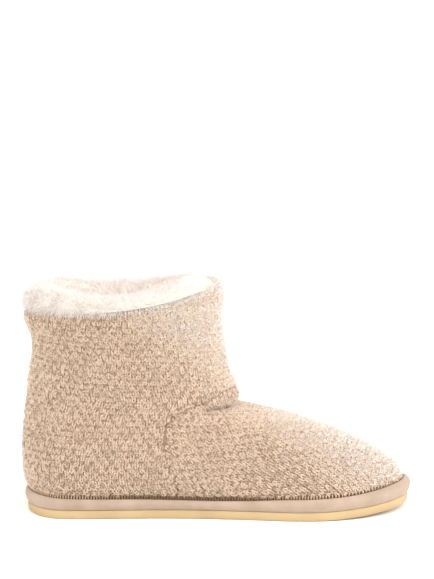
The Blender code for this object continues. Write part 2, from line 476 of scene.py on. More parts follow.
    def shaft_ring(self, level: float, angle: Array) -> Array:
        """Draw a ring of the shaft.

        Args:
            level: its place between two of the named rings.
            angle: the angles of its points, 0 at the back.

        Returns:
            Its points.
        """
        row = self.shaft.read(level)
        middle = (row["back_x"] + row["front_x"]) / 2
        reach = (row["front_x"] - row["back_x"]) / 2
        width = row["half_width"] * (1 + self.shaft_egg * np.cos(angle))
        rise = (row["front_z"] - row["back_z"]) * self.station(angle)
        height = row["back_z"] + rise - row["dip"] * np.sin(angle) ** 2
        return np.column_stack([middle - reach * np.cos(angle), -width * np.sin(angle), height])

    def shaft_outward(self, angle: Array) -> Array:
        """Give the outward directions round the shaft, as seen from above."""
        length, width, _ = np.ptp(self.shaft_ring(Ring.RIM, turns(80)), axis=0)
        return unit(np.column_stack([-np.cos(angle) * width, -np.sin(angle) * length]))

    def wall_ring(self, angle: Array, level: float) -> Array:
        """Draw a ring of the wall between the sole and the instep crease.

        Args:
            angle: the angles of its points.
            level: 0 at the top of the hem, 1 at the crease.

        Returns:
            Its points.
        """
        station = self.station(angle)
        _, outward = self.outline(angle)
        lift = self.joint_gap + self.feather_hem
        foot = self.midsole_ring(angle, -self.feather_inset, self.channel_share, lift)
        crease = self.shaft_ring(Ring.CREASE, self.gathered(angle))
        power = 2 / self.sole.follow("fullness", station)
        climb = np.sin(level * math.pi / 2) ** power
        arch = 1 - max(0.0, math.cos(level * math.pi / 2)) ** power
        stand = climb * climb * (3 - 2 * climb)
        drape = np.clip(self.sole.follow("drape", station), 0, 1)
        inward = drape * arch + (1 - drape) * stand
        ring = foot + (crease - foot) * np.column_stack([inward, inward, climb])
        swell = self.sole.follow("overhang", station) * np.sin(math.pi * climb**self.swell_power)
        ring[:, :2] += outward * swell[:, None]
        return ring

    def skin(self, angle: Array, wall_steps: int, leg_steps: int, top: float = Ring.RIM) -> Array:
        """Draw the upper's rings, from the hem over the instep crease and up the shaft.

        Args:
            angle: the sole's angles of the points of each ring.
            wall_steps: how many rings below the crease, apart from the hem.
            leg_steps: how many gaps between the rings above it.
            top: the last ring's level.

        Returns:
            The points, as rings by angles by three.
        """
        hem = self.midsole_ring(angle, -self.feather_inset, self.channel_share, self.joint_gap)
        wall = [self.wall_ring(angle, k / wall_steps) for k in range(wall_steps)]
        levels = np.linspace(float(Ring.CREASE), float(top), leg_steps + 1)
        leg = [self.shaft_ring(level, self.gathered(angle)) for level in levels]
        return np.stack([hem, *wall, *leg])


# ================================================================ creases and seam lines


class Side(Enum):
    """The side of the foot that a crease lies on."""

    OUTER = -1
    INNER = 1
    BOTH = 0


@dataclass(frozen=True)
class Crease:
    """A soft trough, or with a negative depth a soft ridge, laid along a side of the upper."""

    side: Side
    path: tuple[tuple[float, float], ...]
    depth: float
    width: float

    def push(self, points: Array, normals: Array) -> Array:
        """Work out how far the crease pushes each point outwards.

        Args:
            points: points of the upper.
            normals: their outward normals.

        Returns:
            A signed distance along each normal.
        """
        flat = points[..., [0, 2]]
        distance = np.full(flat.shape[:-1], 1.0)
        for start, end in zip(self.path[:-1], self.path[1:]):
            a, b = np.array(start), np.array(end)
            run = b - a
            t = np.clip(((flat - a) @ run) / (run @ run), 0, 1)
            near = a + t[..., None] * run
            distance = np.minimum(distance, np.linalg.norm(flat - near, axis=-1))
        faces_side = smooth_step(0.15, 0.6, np.abs(normals[..., 1]))
        if self.side is not Side.BOTH:
            faces_side = faces_side * (np.sign(points[..., 1]) == self.side.value)
        return -self.depth * np.exp(-((distance / self.width) ** 2)) * faces_side


@dataclass(frozen=True)
class PanelSeam:
    """The seam between quarter and vamp, drawn on the side of the slipper."""

    line: Table = Table(
        ("step", "x", "z"),
        (
            (0, -0.0262, 0.0100),
            (1, -0.0290, 0.0240),
            (2, -0.0340, 0.0400),
            (3, -0.0358, 0.0530),
            (4, -0.0322, 0.0685),
            (5, -0.0190, 0.0757),
            (6, -0.0050, 0.0808),
            (7, 0.0055, 0.0850),
            (8, 0.0200, 0.0885),
        ),
    )
    groove_depth: float = 0.95 * MM
    groove_width: float = 1.2 * MM
    low_fade: float = 0.85
    fade_heights: tuple[float, float] = (0.056, 0.074)
    low_cover: float = 0.75 * MM

    def path(self, count: int = 120) -> Array:
        """Give points (x, z) along the seam, from the sole up to the front."""
        at = self.line.places(count)
        return np.column_stack([self.line.follow("x", at), self.line.follow("z", at)])

    def low(self, points: Array) -> Array:
        """Give 1 at the height of the seam's tight low end and 0 above it."""
        return 1 - smooth_step(*self.fade_heights, points[..., 2])

    def cover(self, points: Array) -> Array:
        """Give how far both panels close over the seam at each point's height."""
        return self.low_cover * self.low(points)

    def inside(self, points: Array) -> Array:
        """Measure how far points of the upper lie inside the vamp.

        Args:
            points: points of the upper.

        Returns:
            The distance from the seam as seen from the side, negative in the quarter.
        """
        flat = points[..., [0, 2]]
        path = self.path()
        gaps = np.linalg.norm(flat[..., None, :] - path, axis=-1)
        ahead, below = 0.3, -0.1
        corners = np.vstack([path, [(ahead, path[-1, 1]), (ahead, below), (path[0, 0], below)]])
        crossed = np.zeros(flat.shape[:-1], dtype=int)
        for a, b in zip(corners, np.roll(corners, -1, axis=0)):
            spans = (a[1] > flat[..., 1]) != (b[1] > flat[..., 1])
            rise = b[1] - a[1] if b[1] != a[1] else 1e-9
            x_at = a[0] + (flat[..., 1] - a[1]) * (b[0] - a[0]) / rise
            crossed += spans & (flat[..., 0] < x_at)
        return gaps.min(axis=-1) * np.where(crossed % 2 == 1, 1.0, -1.0)


# ================================================================ finishes


def noise(tree: Tree, place: Socket, size: float, detail: float, roughness: float = 0.5) -> Socket:
    """Add a noise whose patches have a size in metres."""
    links = {"Vector": place, "Scale": 1 / size, "Detail": detail, "Roughness": roughness}
    return add_node(tree, "ShaderNodeTexNoise", links=links).outputs["Fac"]


def spread(tree: Tree, value: Socket, low: float, high: float, top: float = 1.0) -> Socket:
    """Stretch the values between low and high over 0 to top."""
    links = {"Value": value, "From Min": low, "From Max": high, "To Max": top}
    return add_node(tree, "ShaderNodeMapRange", links=links).outputs[0]


def blend(tree: Tree, share: object, none: object, full: object) -> Socket:
    """Mix two numbers: all of the first at a share of 0, all of the second at 1."""
    return add_node(tree, "ShaderNodeMix", {"data_type": "FLOAT"}, {0: share, 2: none, 3: full}).outputs[0]


@dataclass(frozen=True)
class Finish:
    """A surface finish that makes its own material, read in the object's own coordinates."""

    name: str
    colour: str
    shade: str
    roughness: float
    sheen: float = 0.0
    patch: float = 20 * MM
    grain: float = 0.5 * MM
    grain_depth: float = 0.1 * MM
    glow: float = 0.0
    sheen_colour: str = "FFF0E0"
    glow_depth: float = 1 * MM
    mottle_range: tuple[float, float] = (0.3, 0.62)

    def mottle(self, tree: Tree, place: Socket) -> Socket:
        """Give the share of the main colour, rather than the shade, at each place."""
        return spread(tree, noise(tree, place, self.patch, 3.0), *self.mottle_range)

    def relief(self, tree: Tree, place: Socket) -> Socket:
        """Give the height of the surface's grain, from 0 to 1."""
        return noise(tree, place, self.grain, 2.0)

    def build(self) -> bpy.types.Material:
        """Make the material.

        Returns:
            A Principled material with the finish's colours, grain and sheen.
        """
        material = bpy.data.materials.new(self.name)
        material.use_nodes = True
        tree = material.node_tree
        tree.nodes.clear()
        place = add_node(tree, "ShaderNodeTexCoord").outputs["Object"]
        links = {0: self.mottle(tree, place), 6: linear(self.shade), 7: linear(self.colour)}
        mixed = add_node(tree, "ShaderNodeMix", {"data_type": "RGBA"}, links)
        grain = {"Strength": 1.0, "Distance": self.grain_depth, "Height": self.relief(tree, place)}
        values = {
            "Base Color": mixed.outputs[2],
            "Roughness": self.roughness,
            "Normal": add_node(tree, "ShaderNodeBump", links=grain).outputs[0],
            "Sheen Weight": self.sheen,
            "Sheen Roughness": 0.5,
            "Sheen Tint": linear(self.sheen_colour),
            "Subsurface Weight": self.glow,
            "Subsurface Radius": (1.0, 0.9, 0.8),
            "Subsurface Scale": self.glow_depth,
        }
        shader = add_node(tree, "ShaderNodeBsdfPrincipled", links=values)
        add_node(tree, "ShaderNodeOutputMaterial", links={"Surface": shader.outputs[0]})
        return material


@dataclass(frozen=True)
class MarledYarn(Finish):
    """Yarn spun from cream and grey-brown wool, with a painted highlight that turns it paler towards the
    front and top.
    """

    mottle_range: tuple[float, float] = (0.36, 0.54)
    tone_weight: float = 0.16
    # Painted highlight: the colour pales towards the front and top along this way.
    highlight_way: Triple = (1.0, 0.0, 1.2)
    highlight_from: float = 0.090
    highlight_to: float = 0.150
    highlight_share: float = 0.78

    def mottle(self, tree: Tree, place: Socket) -> Socket:
        """Vary the colour along the yarn and from stitch to stitch, under a painted highlight that pales
        it towards the front and top.

        Args:
            tree: the material's node tree.
            place: the coordinates.

        Returns:
            The share of the main colour.
        """
        tone = add_node(tree, "ShaderNodeAttribute", {"attribute_name": "tone"}).outputs["Fac"]
        marl = noise(tree, place, self.patch, 3.0, 0.6)
        marled = spread(tree, blend(tree, self.tone_weight, marl, tone), *self.mottle_range)
        # Painted highlight: blend towards the main colour at the front and top.
        links = {0: place, 1: self.highlight_way}
        forward = add_node(tree, "ShaderNodeVectorMath", {"operation": "DOT_PRODUCT"}, links)
        pale = spread(tree, forward.outputs["Value"], self.highlight_from, self.highlight_to, self.highlight_share)
        return blend(tree, pale, marled, 1.0)


@dataclass(frozen=True)
class TwillCloth(Finish):
    """Brushed twill: a fine slanting rib under a short nap."""

    rib: float = 0.7 * MM
    slant: Triple = (0.6, 0.5, 0.8)

    def relief(self, tree: Tree, place: Socket) -> Socket:
        """Give the height of the ribs and the nap.

        Args:
            tree: the material's node tree.
            place: the coordinates.

        Returns:
            The height.
        """
        turn = {"Vector": place, "Rotation": self.slant}
        slanted = add_node(tree, "ShaderNodeMapping", links=turn).outputs[0]
        rib = {"Vector": slanted, "Scale": 1 / (self.rib * 3), "Distortion": 0.6}
        wave = add_node(tree, "ShaderNodeTexWave", links=rib).outputs["Fac"]
        return blend(tree, 0.5, wave, super().relief(tree, place))


@dataclass(frozen=True)
class FoamSkin(Finish):
    """Moulded foam: an even skin with small closed pores."""

    pore: float = 1.1 * MM

    def relief(self, tree: Tree, place: Socket) -> Socket:
        """Give the height of the skin between its pores."""
        links = {"Vector": place, "Scale": 1 / self.pore}
        return spread(tree, add_node(tree, "ShaderNodeTexVoronoi", links=links).outputs[0], 0.05, 0.3)


@dataclass(frozen=True)
class PaintedShadingFinish(Finish):
    """A finish of painted light and shade: its colour near one place, turning to its shade colour further
    out.
    """

    middle: Triple = (-63 * MM, 0.0, 0.0)
    across: Triple = (1 / (66 * MM), 1 / (48 * MM), 0.0)
    fade_from: float = 0.82
    fade_to: float = 0.97
    noise_share: float = 0.25

    def mottle(self, tree: Tree, place: Socket) -> Socket:
        """Paint light and shade: vary the colour from the middle outwards.

        Args:
            tree: the material's node tree.
            place: the coordinates.

        Returns:
            The share of the main colour.
        """
        reach = place
        for operation, other in (("SUBTRACT", self.middle), ("MULTIPLY", self.across)):
            links = {0: reach, 1: other}
            reach = add_node(tree, "ShaderNodeVectorMath", {"operation": operation}, links).outputs[0]
        length = add_node(tree, "ShaderNodeVectorMath", {"operation": "LENGTH"}, {0: reach})
        near = spread(tree, length.outputs["Value"], self.fade_to, self.fade_from)
        return blend(tree, self.noise_share, near, super().mottle(tree, place))


class Dressing(Enum):
    """The finishes of the slipper and of the floor that it stands on."""

    # Closed-cell EVA foam, moulded: matte and warm yellow, with an even fine skin.
    OUTSOLE = FoamSkin("moulded_eva_foam", "B39B72", "A98F66", 0.62, 0.0, 30 * MM, 0.4 * MM, 0.06 * MM)
    # Polyester suedette wrapped round the midsole: a soft sheen on a pinkish beige nap.
    RAND = TwillCloth(
        "brushed_polyester_suedette", "A48F7D", "94806E", 0.72, 0.25, 14 * MM, 0.4 * MM, 0.05 * MM
    )
    # Waxed cotton thread, twisted: brown and a little shiny, with painted shade: darker along the middle
    # of the sides, where the crevice above the rand lies deepest in shade, and paler at heel and toe.
    THREAD = PaintedShadingFinish(
        "waxed_cotton_thread",
        "7E5A3C",
        "C4A384",
        0.55,
        patch=2 * MM,
        grain=0.3 * MM,
        grain_depth=0.05 * MM,
        middle=(-15 * MM, 0.0, 0.0),
        across=(1 / (100 * MM), 0.0, 0.0),
        fade_from=0.4,
        fade_to=0.8,
        noise_share=0.15,
    )
    # Wool and acrylic yarn, marled and knitted in raised stitches, painted paler towards the front and top
    # as a highlight.
    YARN = MarledYarn("marled_wool_yarn", "CCB39B", "8B6F54", 0.95, 1.0, 1.1 * MM, 0.4 * MM, 0.2 * MM)
    # The same yarn behind the stitches, painted darker as shade because it sees less light, and paler
    # towards the front and top as a highlight.
    GROUND = MarledYarn("knit_ground_yarn", "A1856A", "725842", 1.0, 0.2, 1.6 * MM, 0.6 * MM, 0.4 * MM)
    # The darker wool that links the panels, lying deep in the seam; like the other yarns, painted paler
    # towards the front and top as a highlight.
    LINK = MarledYarn("linking_yarn", "A58A6F", "80664D", 1.0, 0.2, 1.2 * MM, 0.4 * MM, 0.1 * MM)
    # Loose wool ends that stand off the yarn: real fuzz, coloured near white as a painted sheen on the
    # wool.
    FUZZ = Finish("loose_wool_ends", "F6EEE8", "EADFD5", 1.0, 0.6, 6 * MM, 0.3 * MM, 0.02 * MM)
    # Acrylic fleece, brushed to a short dense pile.
    LINING = Finish("brushed_fleece_lining", "F3E9DD", "E4D6C5", 1.0, 0.4, 7 * MM, 0.9 * MM, 0.5 * MM)
    # Long-pile faux fur, nearly white, with painted light and shade: paler inside the collar, to lift the
    # shade of its hollow, and a little darker outside, where the lamps fall strongest.
    FUR = PaintedShadingFinish("long_pile_faux_fur", "FAEFE8", "F2E8DF", 0.95, 0.2, 9 * MM, 1.2 * MM, 0.5 * MM, 0.5)
    # The fur's roots and backing, seen between the fibres, with painted light and shade: pale inside the
    # collar's shaded hollow, much darker outside, where the lamps fall strongest.
    FUR_ROOTS = PaintedShadingFinish("faux_fur_roots", "F0E5DB", "B8AFA6", 1.0, 0.2, 9 * MM, 1.2 * MM, 0.5 * MM)
    # Painted studio floor: matte, pale and plain.
    FLOOR = Finish("matte_studio_floor", "FAF9F7", "F8F7F5", 0.9, 0.0, 900 * MM, 3 * MM, 0.02 * MM)

    def material(self) -> bpy.types.Material:
        """Give the finish's material, made the first time that it is asked for."""
        return bpy.data.materials.get(self.value.name) or self.value.build()


# ================================================================ geometry node trees


class Growth:
    """A geometry tree that sets one shape many times, with short ways to add its nodes."""

    def __init__(self, name: str, sockets: dict[str, str]) -> None:
        """Start the tree, with a surface, a shape and a material among its inputs.

        Args:
            name: the tree's name.
            sockets: the names of the other inputs, with the kind of each.
        """
        self.tree = bpy.data.node_groups.new(name, "GeometryNodeTree")
        interface = self.tree.interface
        interface.new_socket("Geometry", in_out="OUTPUT", socket_type="NodeSocketGeometry")
        sockets = {"Geometry": "Geometry", "Shape": "Object", **sockets, "Material": "Material"}
        for socket, kind in sockets.items():
            interface.new_socket(socket, in_out="INPUT", socket_type=f"NodeSocket{kind}")
        self.given = self.add("NodeGroupInput").outputs

    def add(self, kind: str, settings: dict | None = None, links: dict | None = None) -> bpy.types.Node:
        """Add a node to the tree."""
        return add_node(self.tree, kind, settings, links)

    def maths(self, operation: str, a: object, b: object) -> Socket:
        """Add an operation on two numbers."""
        return self.add("ShaderNodeMath", {"operation": operation}, {0: a, 1: b}).outputs[0]

    def vectors(self, operation: str, a: object, b: object) -> Socket:
        """Add an operation on two vectors."""
        return self.add("ShaderNodeVectorMath", {"operation": operation}, {0: a, 1: b}).outputs["Vector"]

    def times(self, vector: Socket, scale: object) -> Socket:
        """Scale a vector by a number."""
        links = {0: vector, "Scale": scale}
        return self.add("ShaderNodeVectorMath", {"operation": "SCALE"}, links).outputs["Vector"]

    def attribute(self, name: str, kind: str = "FLOAT_VECTOR") -> Socket:
        """Read one of the surface's attributes."""
        return self.add("GeometryNodeInputNamedAttribute", {"data_type": kind}, {"Name": name}).outputs[0]

    def random(self, low: object, high: object, offset: int) -> Socket:
        """Draw a random vector for each point.

        Args:
            low: the least that each number can be.
            high: the most that each number can be.
            offset: what is added to the seed, so that draws differ.

        Returns:
            The vector.
        """
        seed = self.maths("ADD", self.given["Seed"], float(offset))
        links = {0: low, 1: high, 8: seed}
        return self.add("FunctionNodeRandomValue", {"data_type": "FLOAT_VECTOR"}, links).outputs[0]

    def shake(self, reach: Socket, offset: int) -> Socket:
        """Draw a random vector that goes as far as a reach either way."""
        return self.times(self.random((-1.0, -1.0, -1.0), (1.0, 1.0, 1.0), offset), reach)

    def turn(self, rotation: Socket, angles: Socket) -> Socket:
        """Turn a rotation further, by angles about its own axes.

        Args:
            rotation: the rotation.
            angles: the angles, one for each axis.

        Returns:
            The rotation as turned.
        """
        more = self.add("FunctionNodeEulerToRotation", links={0: angles}).outputs[0]
        links = {"Rotation": rotation, "Rotate By": more}
        return self.add("FunctionNodeRotateRotation", {"rotation_space": "LOCAL"}, links).outputs[0]

    def finish(self, links: dict[str, Socket]) -> Tree:
        """End the tree: the shape on each point, as a real mesh with the material.

        Args:
            links: the points, their rotations and, where they differ, the sizes.

        Returns:
            The tree.
        """
        shape = self.add("GeometryNodeObjectInfo", links={"Object": self.given["Shape"]})
        links = {**links, "Instance": shape.outputs["Geometry"]}
        laid = self.add("GeometryNodeInstanceOnPoints", links=links).outputs[0]
        real = self.add("GeometryNodeRealizeInstances", links={"Geometry": laid}).outputs[0]
        links = {"Geometry": real, "Material": self.given["Material"]}
        dressed = self.add("GeometryNodeSetMaterial", links=links).outputs[0]
        self.add("NodeGroupOutput", links={0: dressed})
        return self.tree


@cache
def knit_tree() -> Tree:
    """Lay stitches in rows and wales over a panel that carries its flat pattern.

    Every other stitch of every other row is of the darker yarn, and each such row is set
    one stitch along from the one before: a bird's eye.

    The panel's "flat" attribute is the place of each point on the flat pattern, in metres,
    and "edges" is its distance from the seam, from the sole and from the rim.

    Returns:
        The tree.
    """
    floats = ("Course Pitch", "Row Pitch", "Lift", "Dark Sink", "Jitter", "Turn")
    counts = ("Rows", "Stitches", "Seed")
    triples = ("First", "Margins", "Least Size", "Most Size")
    sockets = {name: "Float" for name in floats}
    sockets |= {name: "Int" for name in counts} | {name: "Vector" for name in triples}
    grow = Growth("knit_panel", sockets)
    given, maths, vectors = grow.given, grow.maths, grow.vectors

    def sample(value: Socket, at: Socket) -> bpy.types.Node:
        """Read a value of the panel at a place on its flat pattern.

        Args:
            value: the value, given for each point of the panel.
            at: the place.

        Returns:
            The node, whose first output is the value.
        """
        cut = grow.attribute("flat")
        links = {"Mesh": given["Geometry"], "Value": value, "UV Map": cut, "Sample UV": at}
        return grow.add("GeometryNodeSampleUVSurface", {"data_type": "FLOAT_VECTOR"}, links)

    # The places of the stitches on the flat pattern, and which of them are dark.
    index = grow.add("GeometryNodeInputIndex").outputs[0]
    row = maths("FLOORED_MODULO", index, given["Rows"])
    column = maths("FLOOR", maths("DIVIDE", index, given["Rows"]), 0.0)
    along = maths("MULTIPLY", column, given["Course Pitch"])
    up = maths("MULTIPLY", row, given["Row Pitch"])
    diagonal = maths("FLOORED_MODULO", maths("ADD", column, maths("MULTIPLY", row, 0.5)), 2.0)
    dark = maths("LESS_THAN", diagonal, 0.25)
    step = grow.add("ShaderNodeCombineXYZ", links={"X": along, "Y": up}).outputs[0]
    flat = vectors("ADD", given["First"], step)
    ahead = vectors("ADD", flat, (0.0, 0.4 * MM, 0.0))

    # The same places on the panel, with its normal and the direction of the wales.
    place = grow.add("GeometryNodeInputPosition").outputs[0]
    here = sample(place, flat)
    there = sample(place, ahead)
    normal = sample(grow.add("GeometryNodeInputNormal").outputs[0], flat).outputs[0]
    wale = vectors("SUBTRACT", there.outputs[0], here.outputs[0])
    spare = vectors("SUBTRACT", sample(grow.attribute("edges"), flat).outputs[0], given["Margins"])
    room = grow.add("ShaderNodeSeparateXYZ", links={0: spare}).outputs
    least = maths("MINIMUM", maths("MINIMUM", room[0], room[1]), room[2])
    valid = maths("MULTIPLY", here.outputs["Is Valid"], there.outputs["Is Valid"])

    # The stitches' points, raised off the panel, with the tone of each stitch's yarn.
    height = maths("SUBTRACT", given["Lift"], maths("MULTIPLY", dark, given["Dark Sink"]))
    raised = vectors("ADD", grow.times(normal, height), grow.shake(given["Jitter"], 1))
    count = maths("MULTIPLY", given["Rows"], given["Stitches"])
    points = grow.add("GeometryNodePoints", links={"Count": count}).outputs[0]
    links = {"Geometry": points, "Position": vectors("ADD", here.outputs[0], raised)}
    placed = grow.add("GeometryNodeSetPosition", links=links).outputs[0]
    tone = {"data_type": "FLOAT"}
    drawn = grow.add("FunctionNodeRandomValue", tone, {2: 0.0, 3: 1.0, 8: given["Seed"]})
    links = {"Geometry": placed, "Name": "tone", "Value": maths("SUBTRACT", drawn.outputs[1], dark)}
    toned = grow.add("GeometryNodeStoreNamedAttribute", tone, links).outputs[0]

    axes = {"primary_axis": "Z", "secondary_axis": "Y"}
    links = {"Primary Axis": normal, "Secondary Axis": wale}
    facing = grow.add("FunctionNodeAxesToRotation", axes, links).outputs[0]
    links = {
        "Points": toned,
        "Selection": maths("MULTIPLY", valid, maths("GREATER_THAN", least, 0.0)),
        "Rotation": grow.turn(facing, grow.shake(given["Turn"], 2)),
        "Scale": grow.random(given["Least Size"], given["Most Size"], 3),
    }
    return grow.finish(links)


@cache
def pile_tree() -> Tree:
    """Grow fibres all over a surface, parted into soft locks.

    Where the surface has a "comb" attribute the fibres lean its way. "denser" and "longer"
    give the shares that are added to their number and, along each axis, to their size.

    Returns:
        The tree.
    """
    sockets = {name: "Float" for name in ("Density", "Lock Size", "Lock Lean", "Spread", "Sink")}
    sockets |= {"Least Size": "Vector", "Most Size": "Vector", "Seed": "Int"}
    grow = Growth("fibre_pile", sockets)
    given, maths, vectors = grow.given, grow.maths, grow.vectors

    crowd = {0: grow.attribute("denser", "FLOAT"), 1: given["Density"], 2: given["Density"]}
    density = grow.add("ShaderNodeMath", {"operation": "MULTIPLY_ADD"}, crowd).outputs[0]
    links = {"Mesh": given["Geometry"], "Density": density, "Seed": given["Seed"]}
    roots = grow.add("GeometryNodeDistributePointsOnFaces", {"distribute_method": "RANDOM"}, links)
    normal = roots.outputs["Normal"]
    sunk = grow.times(grow.times(normal, given["Sink"]), -1.0)
    links = {"Geometry": roots.outputs[0], "Offset": sunk}
    placed = grow.add("GeometryNodeSetPosition", links=links).outputs[0]

    place = grow.add("GeometryNodeInputPosition").outputs[0]
    links = {"Vector": place, "Scale": maths("DIVIDE", 1.0, given["Lock Size"]), "Detail": 1.0}
    locks = grow.add("ShaderNodeTexNoise", links=links).outputs["Color"]
    lean = grow.times(vectors("SUBTRACT", locks, (0.5, 0.5, 0.5)), given["Lock Lean"])
    combed = vectors("ADD", vectors("ADD", normal, grow.attribute("comb")), lean)
    along = vectors("ADD", combed, grow.shake(given["Spread"], 1))
    standing = grow.add("FunctionNodeAlignRotationToVector", {"axis": "Z"}, {"Vector": along})
    size = vectors("ADD", grow.attribute("longer"), (1.0, 1.0, 1.0))
    rolled = grow.random((0.0, 0.0, 0.0), (0.0, 0.0, 2 * math.pi), 2)
    links = {
        "Points": placed,
        "Rotation": grow.turn(standing.outputs[0], rolled),
        "Scale": vectors("MULTIPLY", grow.random(given["Least Size"], given["Most Size"], 3), size),
    }
    return grow.finish(links)


@cache
def seam_tree() -> Tree:
    """Set a stitch on each point, turned the way that the point's "along" attribute says.

    Returns:
        The tree.
    """
    grow = Growth("seam_stitches", {})
    holes = grow.add("GeometryNodeMeshToPoints", links={"Mesh": grow.given["Geometry"]}).outputs[0]
    links = {"Vector": grow.attribute("along")}
    turned = grow.add("FunctionNodeAlignRotationToVector", {"axis": "Z"}, links).outputs[0]
    return grow.finish({"Points": holes, "Rotation": turned})


def run(
    tree: Tree, name: str, surface: Piece, shape: Piece, finish: Dressing, values: dict[str, object]
) -> Piece:
    """Run a geometry tree on a surface and keep the result as a plain mesh.

    Args:
        tree: the tree.
        name: the new piece's name.
        surface: what the tree grows on, which is removed.
        shape: what it sets on the surface, which is removed too.
        finish: the finish of the piece.
        values: the tree's other inputs by name.

    Returns:
        The new piece.
    """
    piece = add_object(name, surface.data)
    modifier = piece.modifiers.new(name, "NODES")
    modifier.node_group = tree
    values = {**values, "Shape": shape, "Material": finish.material()}
    for item in tree.interface.items_tree:
        if item.in_out == "INPUT" and item.name in values:
            modifier[item.identifier] = values[item.name]
    graph = bpy.context.evaluated_depsgraph_get()
    mesh = bpy.data.meshes.new_from_object(piece.evaluated_get(graph), depsgraph=graph)
    piece.modifiers.clear()
    piece.data = mesh
    mesh.name = name
    for helper in (surface, shape):
        bpy.data.objects.remove(helper, do_unlink=True)
    return piece


# ================================================================ small shapes that repeat


# One leg of a stitch, from the point of its V to the top, in millimetres.
STITCH_LEG = Table(
    ("step", "x", "y", "z", "radius"),
    (
        (0, 0.12, -2.00, -0.75, 0.00),
        (1, 0.57, -0.75, 0.12, 0.58),
        (2, 1.04, 0.70, 0.30, 0.58),
        (3, 1.40, 1.85, -0.60, 0.00),
    ),
)


def knit_stitch(sides: int = 5) -> Piece:
    """Make one knit stitch, a V of two plump legs of yarn whose ends dip under their neighbours.

    Args:
        sides: the number of sides of a leg.

    Returns:
        A helper object.
    """
    line = np.column_stack([STITCH_LEG.column(n) for n in ("x", "y", "z")]) * MM
    radius = STITCH_LEG.column("radius")[1:-1, None, None] * MM
    tangent = unit(np.gradient(line, axis=0)[1:-1])
    beside = unit(np.cross(tangent, [0.0, 0.0, 1.0]))
    above = np.cross(beside, tangent)
    around = turns(sides)
    flat = np.cos(around)[None, :, None] * beside[:, None, :]
    rise = np.sin(around)[None, :, None] * above[:, None, :]
    plump = (line[1:-1, None, :] + radius * (flat + rise)).reshape(-1, 3)
    right = np.vstack([plump, line[:1], line[-1:]])
    foot, head = len(plump), len(plump) + 1
    top = foot - sides
    faces = grid_faces(len(radius), sides)[:, ::-1].tolist()
    for k in range(sides):
        after = (k + 1) % sides
        faces += [(k, after, foot), (top + after, top + k, head)]
    mirrored = [tuple(k + len(right) for k in face[::-1]) for face in faces]
    points = np.vstack([right, right * [-1, 1, 1]])
    return make_piece("knit_stitch", points, [*faces, *mirrored], Dressing.YARN)


def fibre(bend: float, finish: Dressing, joints: int) -> Piece:
    """Make one fibre of unit length and radius: a closed cone that bends over.

    Args:
        bend: how far its tip leans, in radii.
        finish: its finish.
        joints: how many joints it has, where it bends.

    Returns:
        A helper object.
    """
    sides = 3
    around = turns(sides)
    rounds = []
    for k in range(joints + 1):
        height = k / (joints + 1)
        width = 1 - 0.5 * height**2
        x = np.cos(around) * width + bend * height**2
        rounds.append(np.column_stack([x, np.sin(around) * width, np.full(sides, height)]))
    top = sides * joints
    walls = grid_faces(joints + 1, sides).tolist() if joints else []
    ends = [(top + k, top + (k + 1) % sides, top + sides) for k in range(sides)]
    return make_piece("fibre", np.vstack([*rounds, (bend, 0.0, 1.0)]), [(2, 1, 0), *walls, *ends], finish)


def sew(name: str, places: Array, along: Array, size: tuple[float, float], finish: Dressing) -> Piece:
    """Set a stitch of thread, a rod with rounded ends, at each of a row of places.

    Args:
        name: the piece's name.
        places: the places of the stitches.
        along: the direction of each.
        size: the radius and the length of a stitch.
        finish: the thread's finish.

    Returns:
        The piece.
    """
    radius, length = size
    around = turns(6)
    rings = []
    for height, width in ((-0.5, 0.45), (-0.35, 0.95), (0.35, 0.95), (0.5, 0.45)):
        x, y = np.cos(around) * radius * width, np.sin(around) * radius * width
        rings.append(np.column_stack([x, y, np.full(len(around), height * length)]))
    rings = np.stack(rings)
    stitch = make_piece("thread_stitch", rings, capped(rings), finish)
    row = make_piece(f"{name}_places", places, [], finish)
    store(row, "along", along)
    return run(seam_tree(), name, row, stitch, finish, {})


@dataclass(frozen=True)
class Pile:
    """Fibres that stand all over a surface. Sizes are ranges that each fibre draws from."""

    finish: Dressing
    density: float
    radius: tuple[float, float]
    length: tuple[float, float]
    lock_size: float
    lock_lean: float
    spread: float
    sink: float
    seed: int
    bend: float
    joints: int = 0

    def grow(self, name: str, skin: Piece) -> Piece:
        """Grow the pile on a skin.

        Args:
            name: the piece's name.
            skin: the surface, which is removed.

        Returns:
            The piece.
        """
        thin, thick = self.radius
        short, long = self.length
        values = {
            "Density": self.density,
            "Least Size": (thin, thin, short),
            "Most Size": (thick, thick, long),
            "Lock Size": self.lock_size,
            "Lock Lean": self.lock_lean,
            "Spread": self.spread,
            "Sink": self.sink,
            "Seed": self.seed,
        }
        hair = fibre(self.bend, self.finish, self.joints)
        return run(pile_tree(), name, skin, hair, self.finish, values)


# ================================================================ sub-assemblies


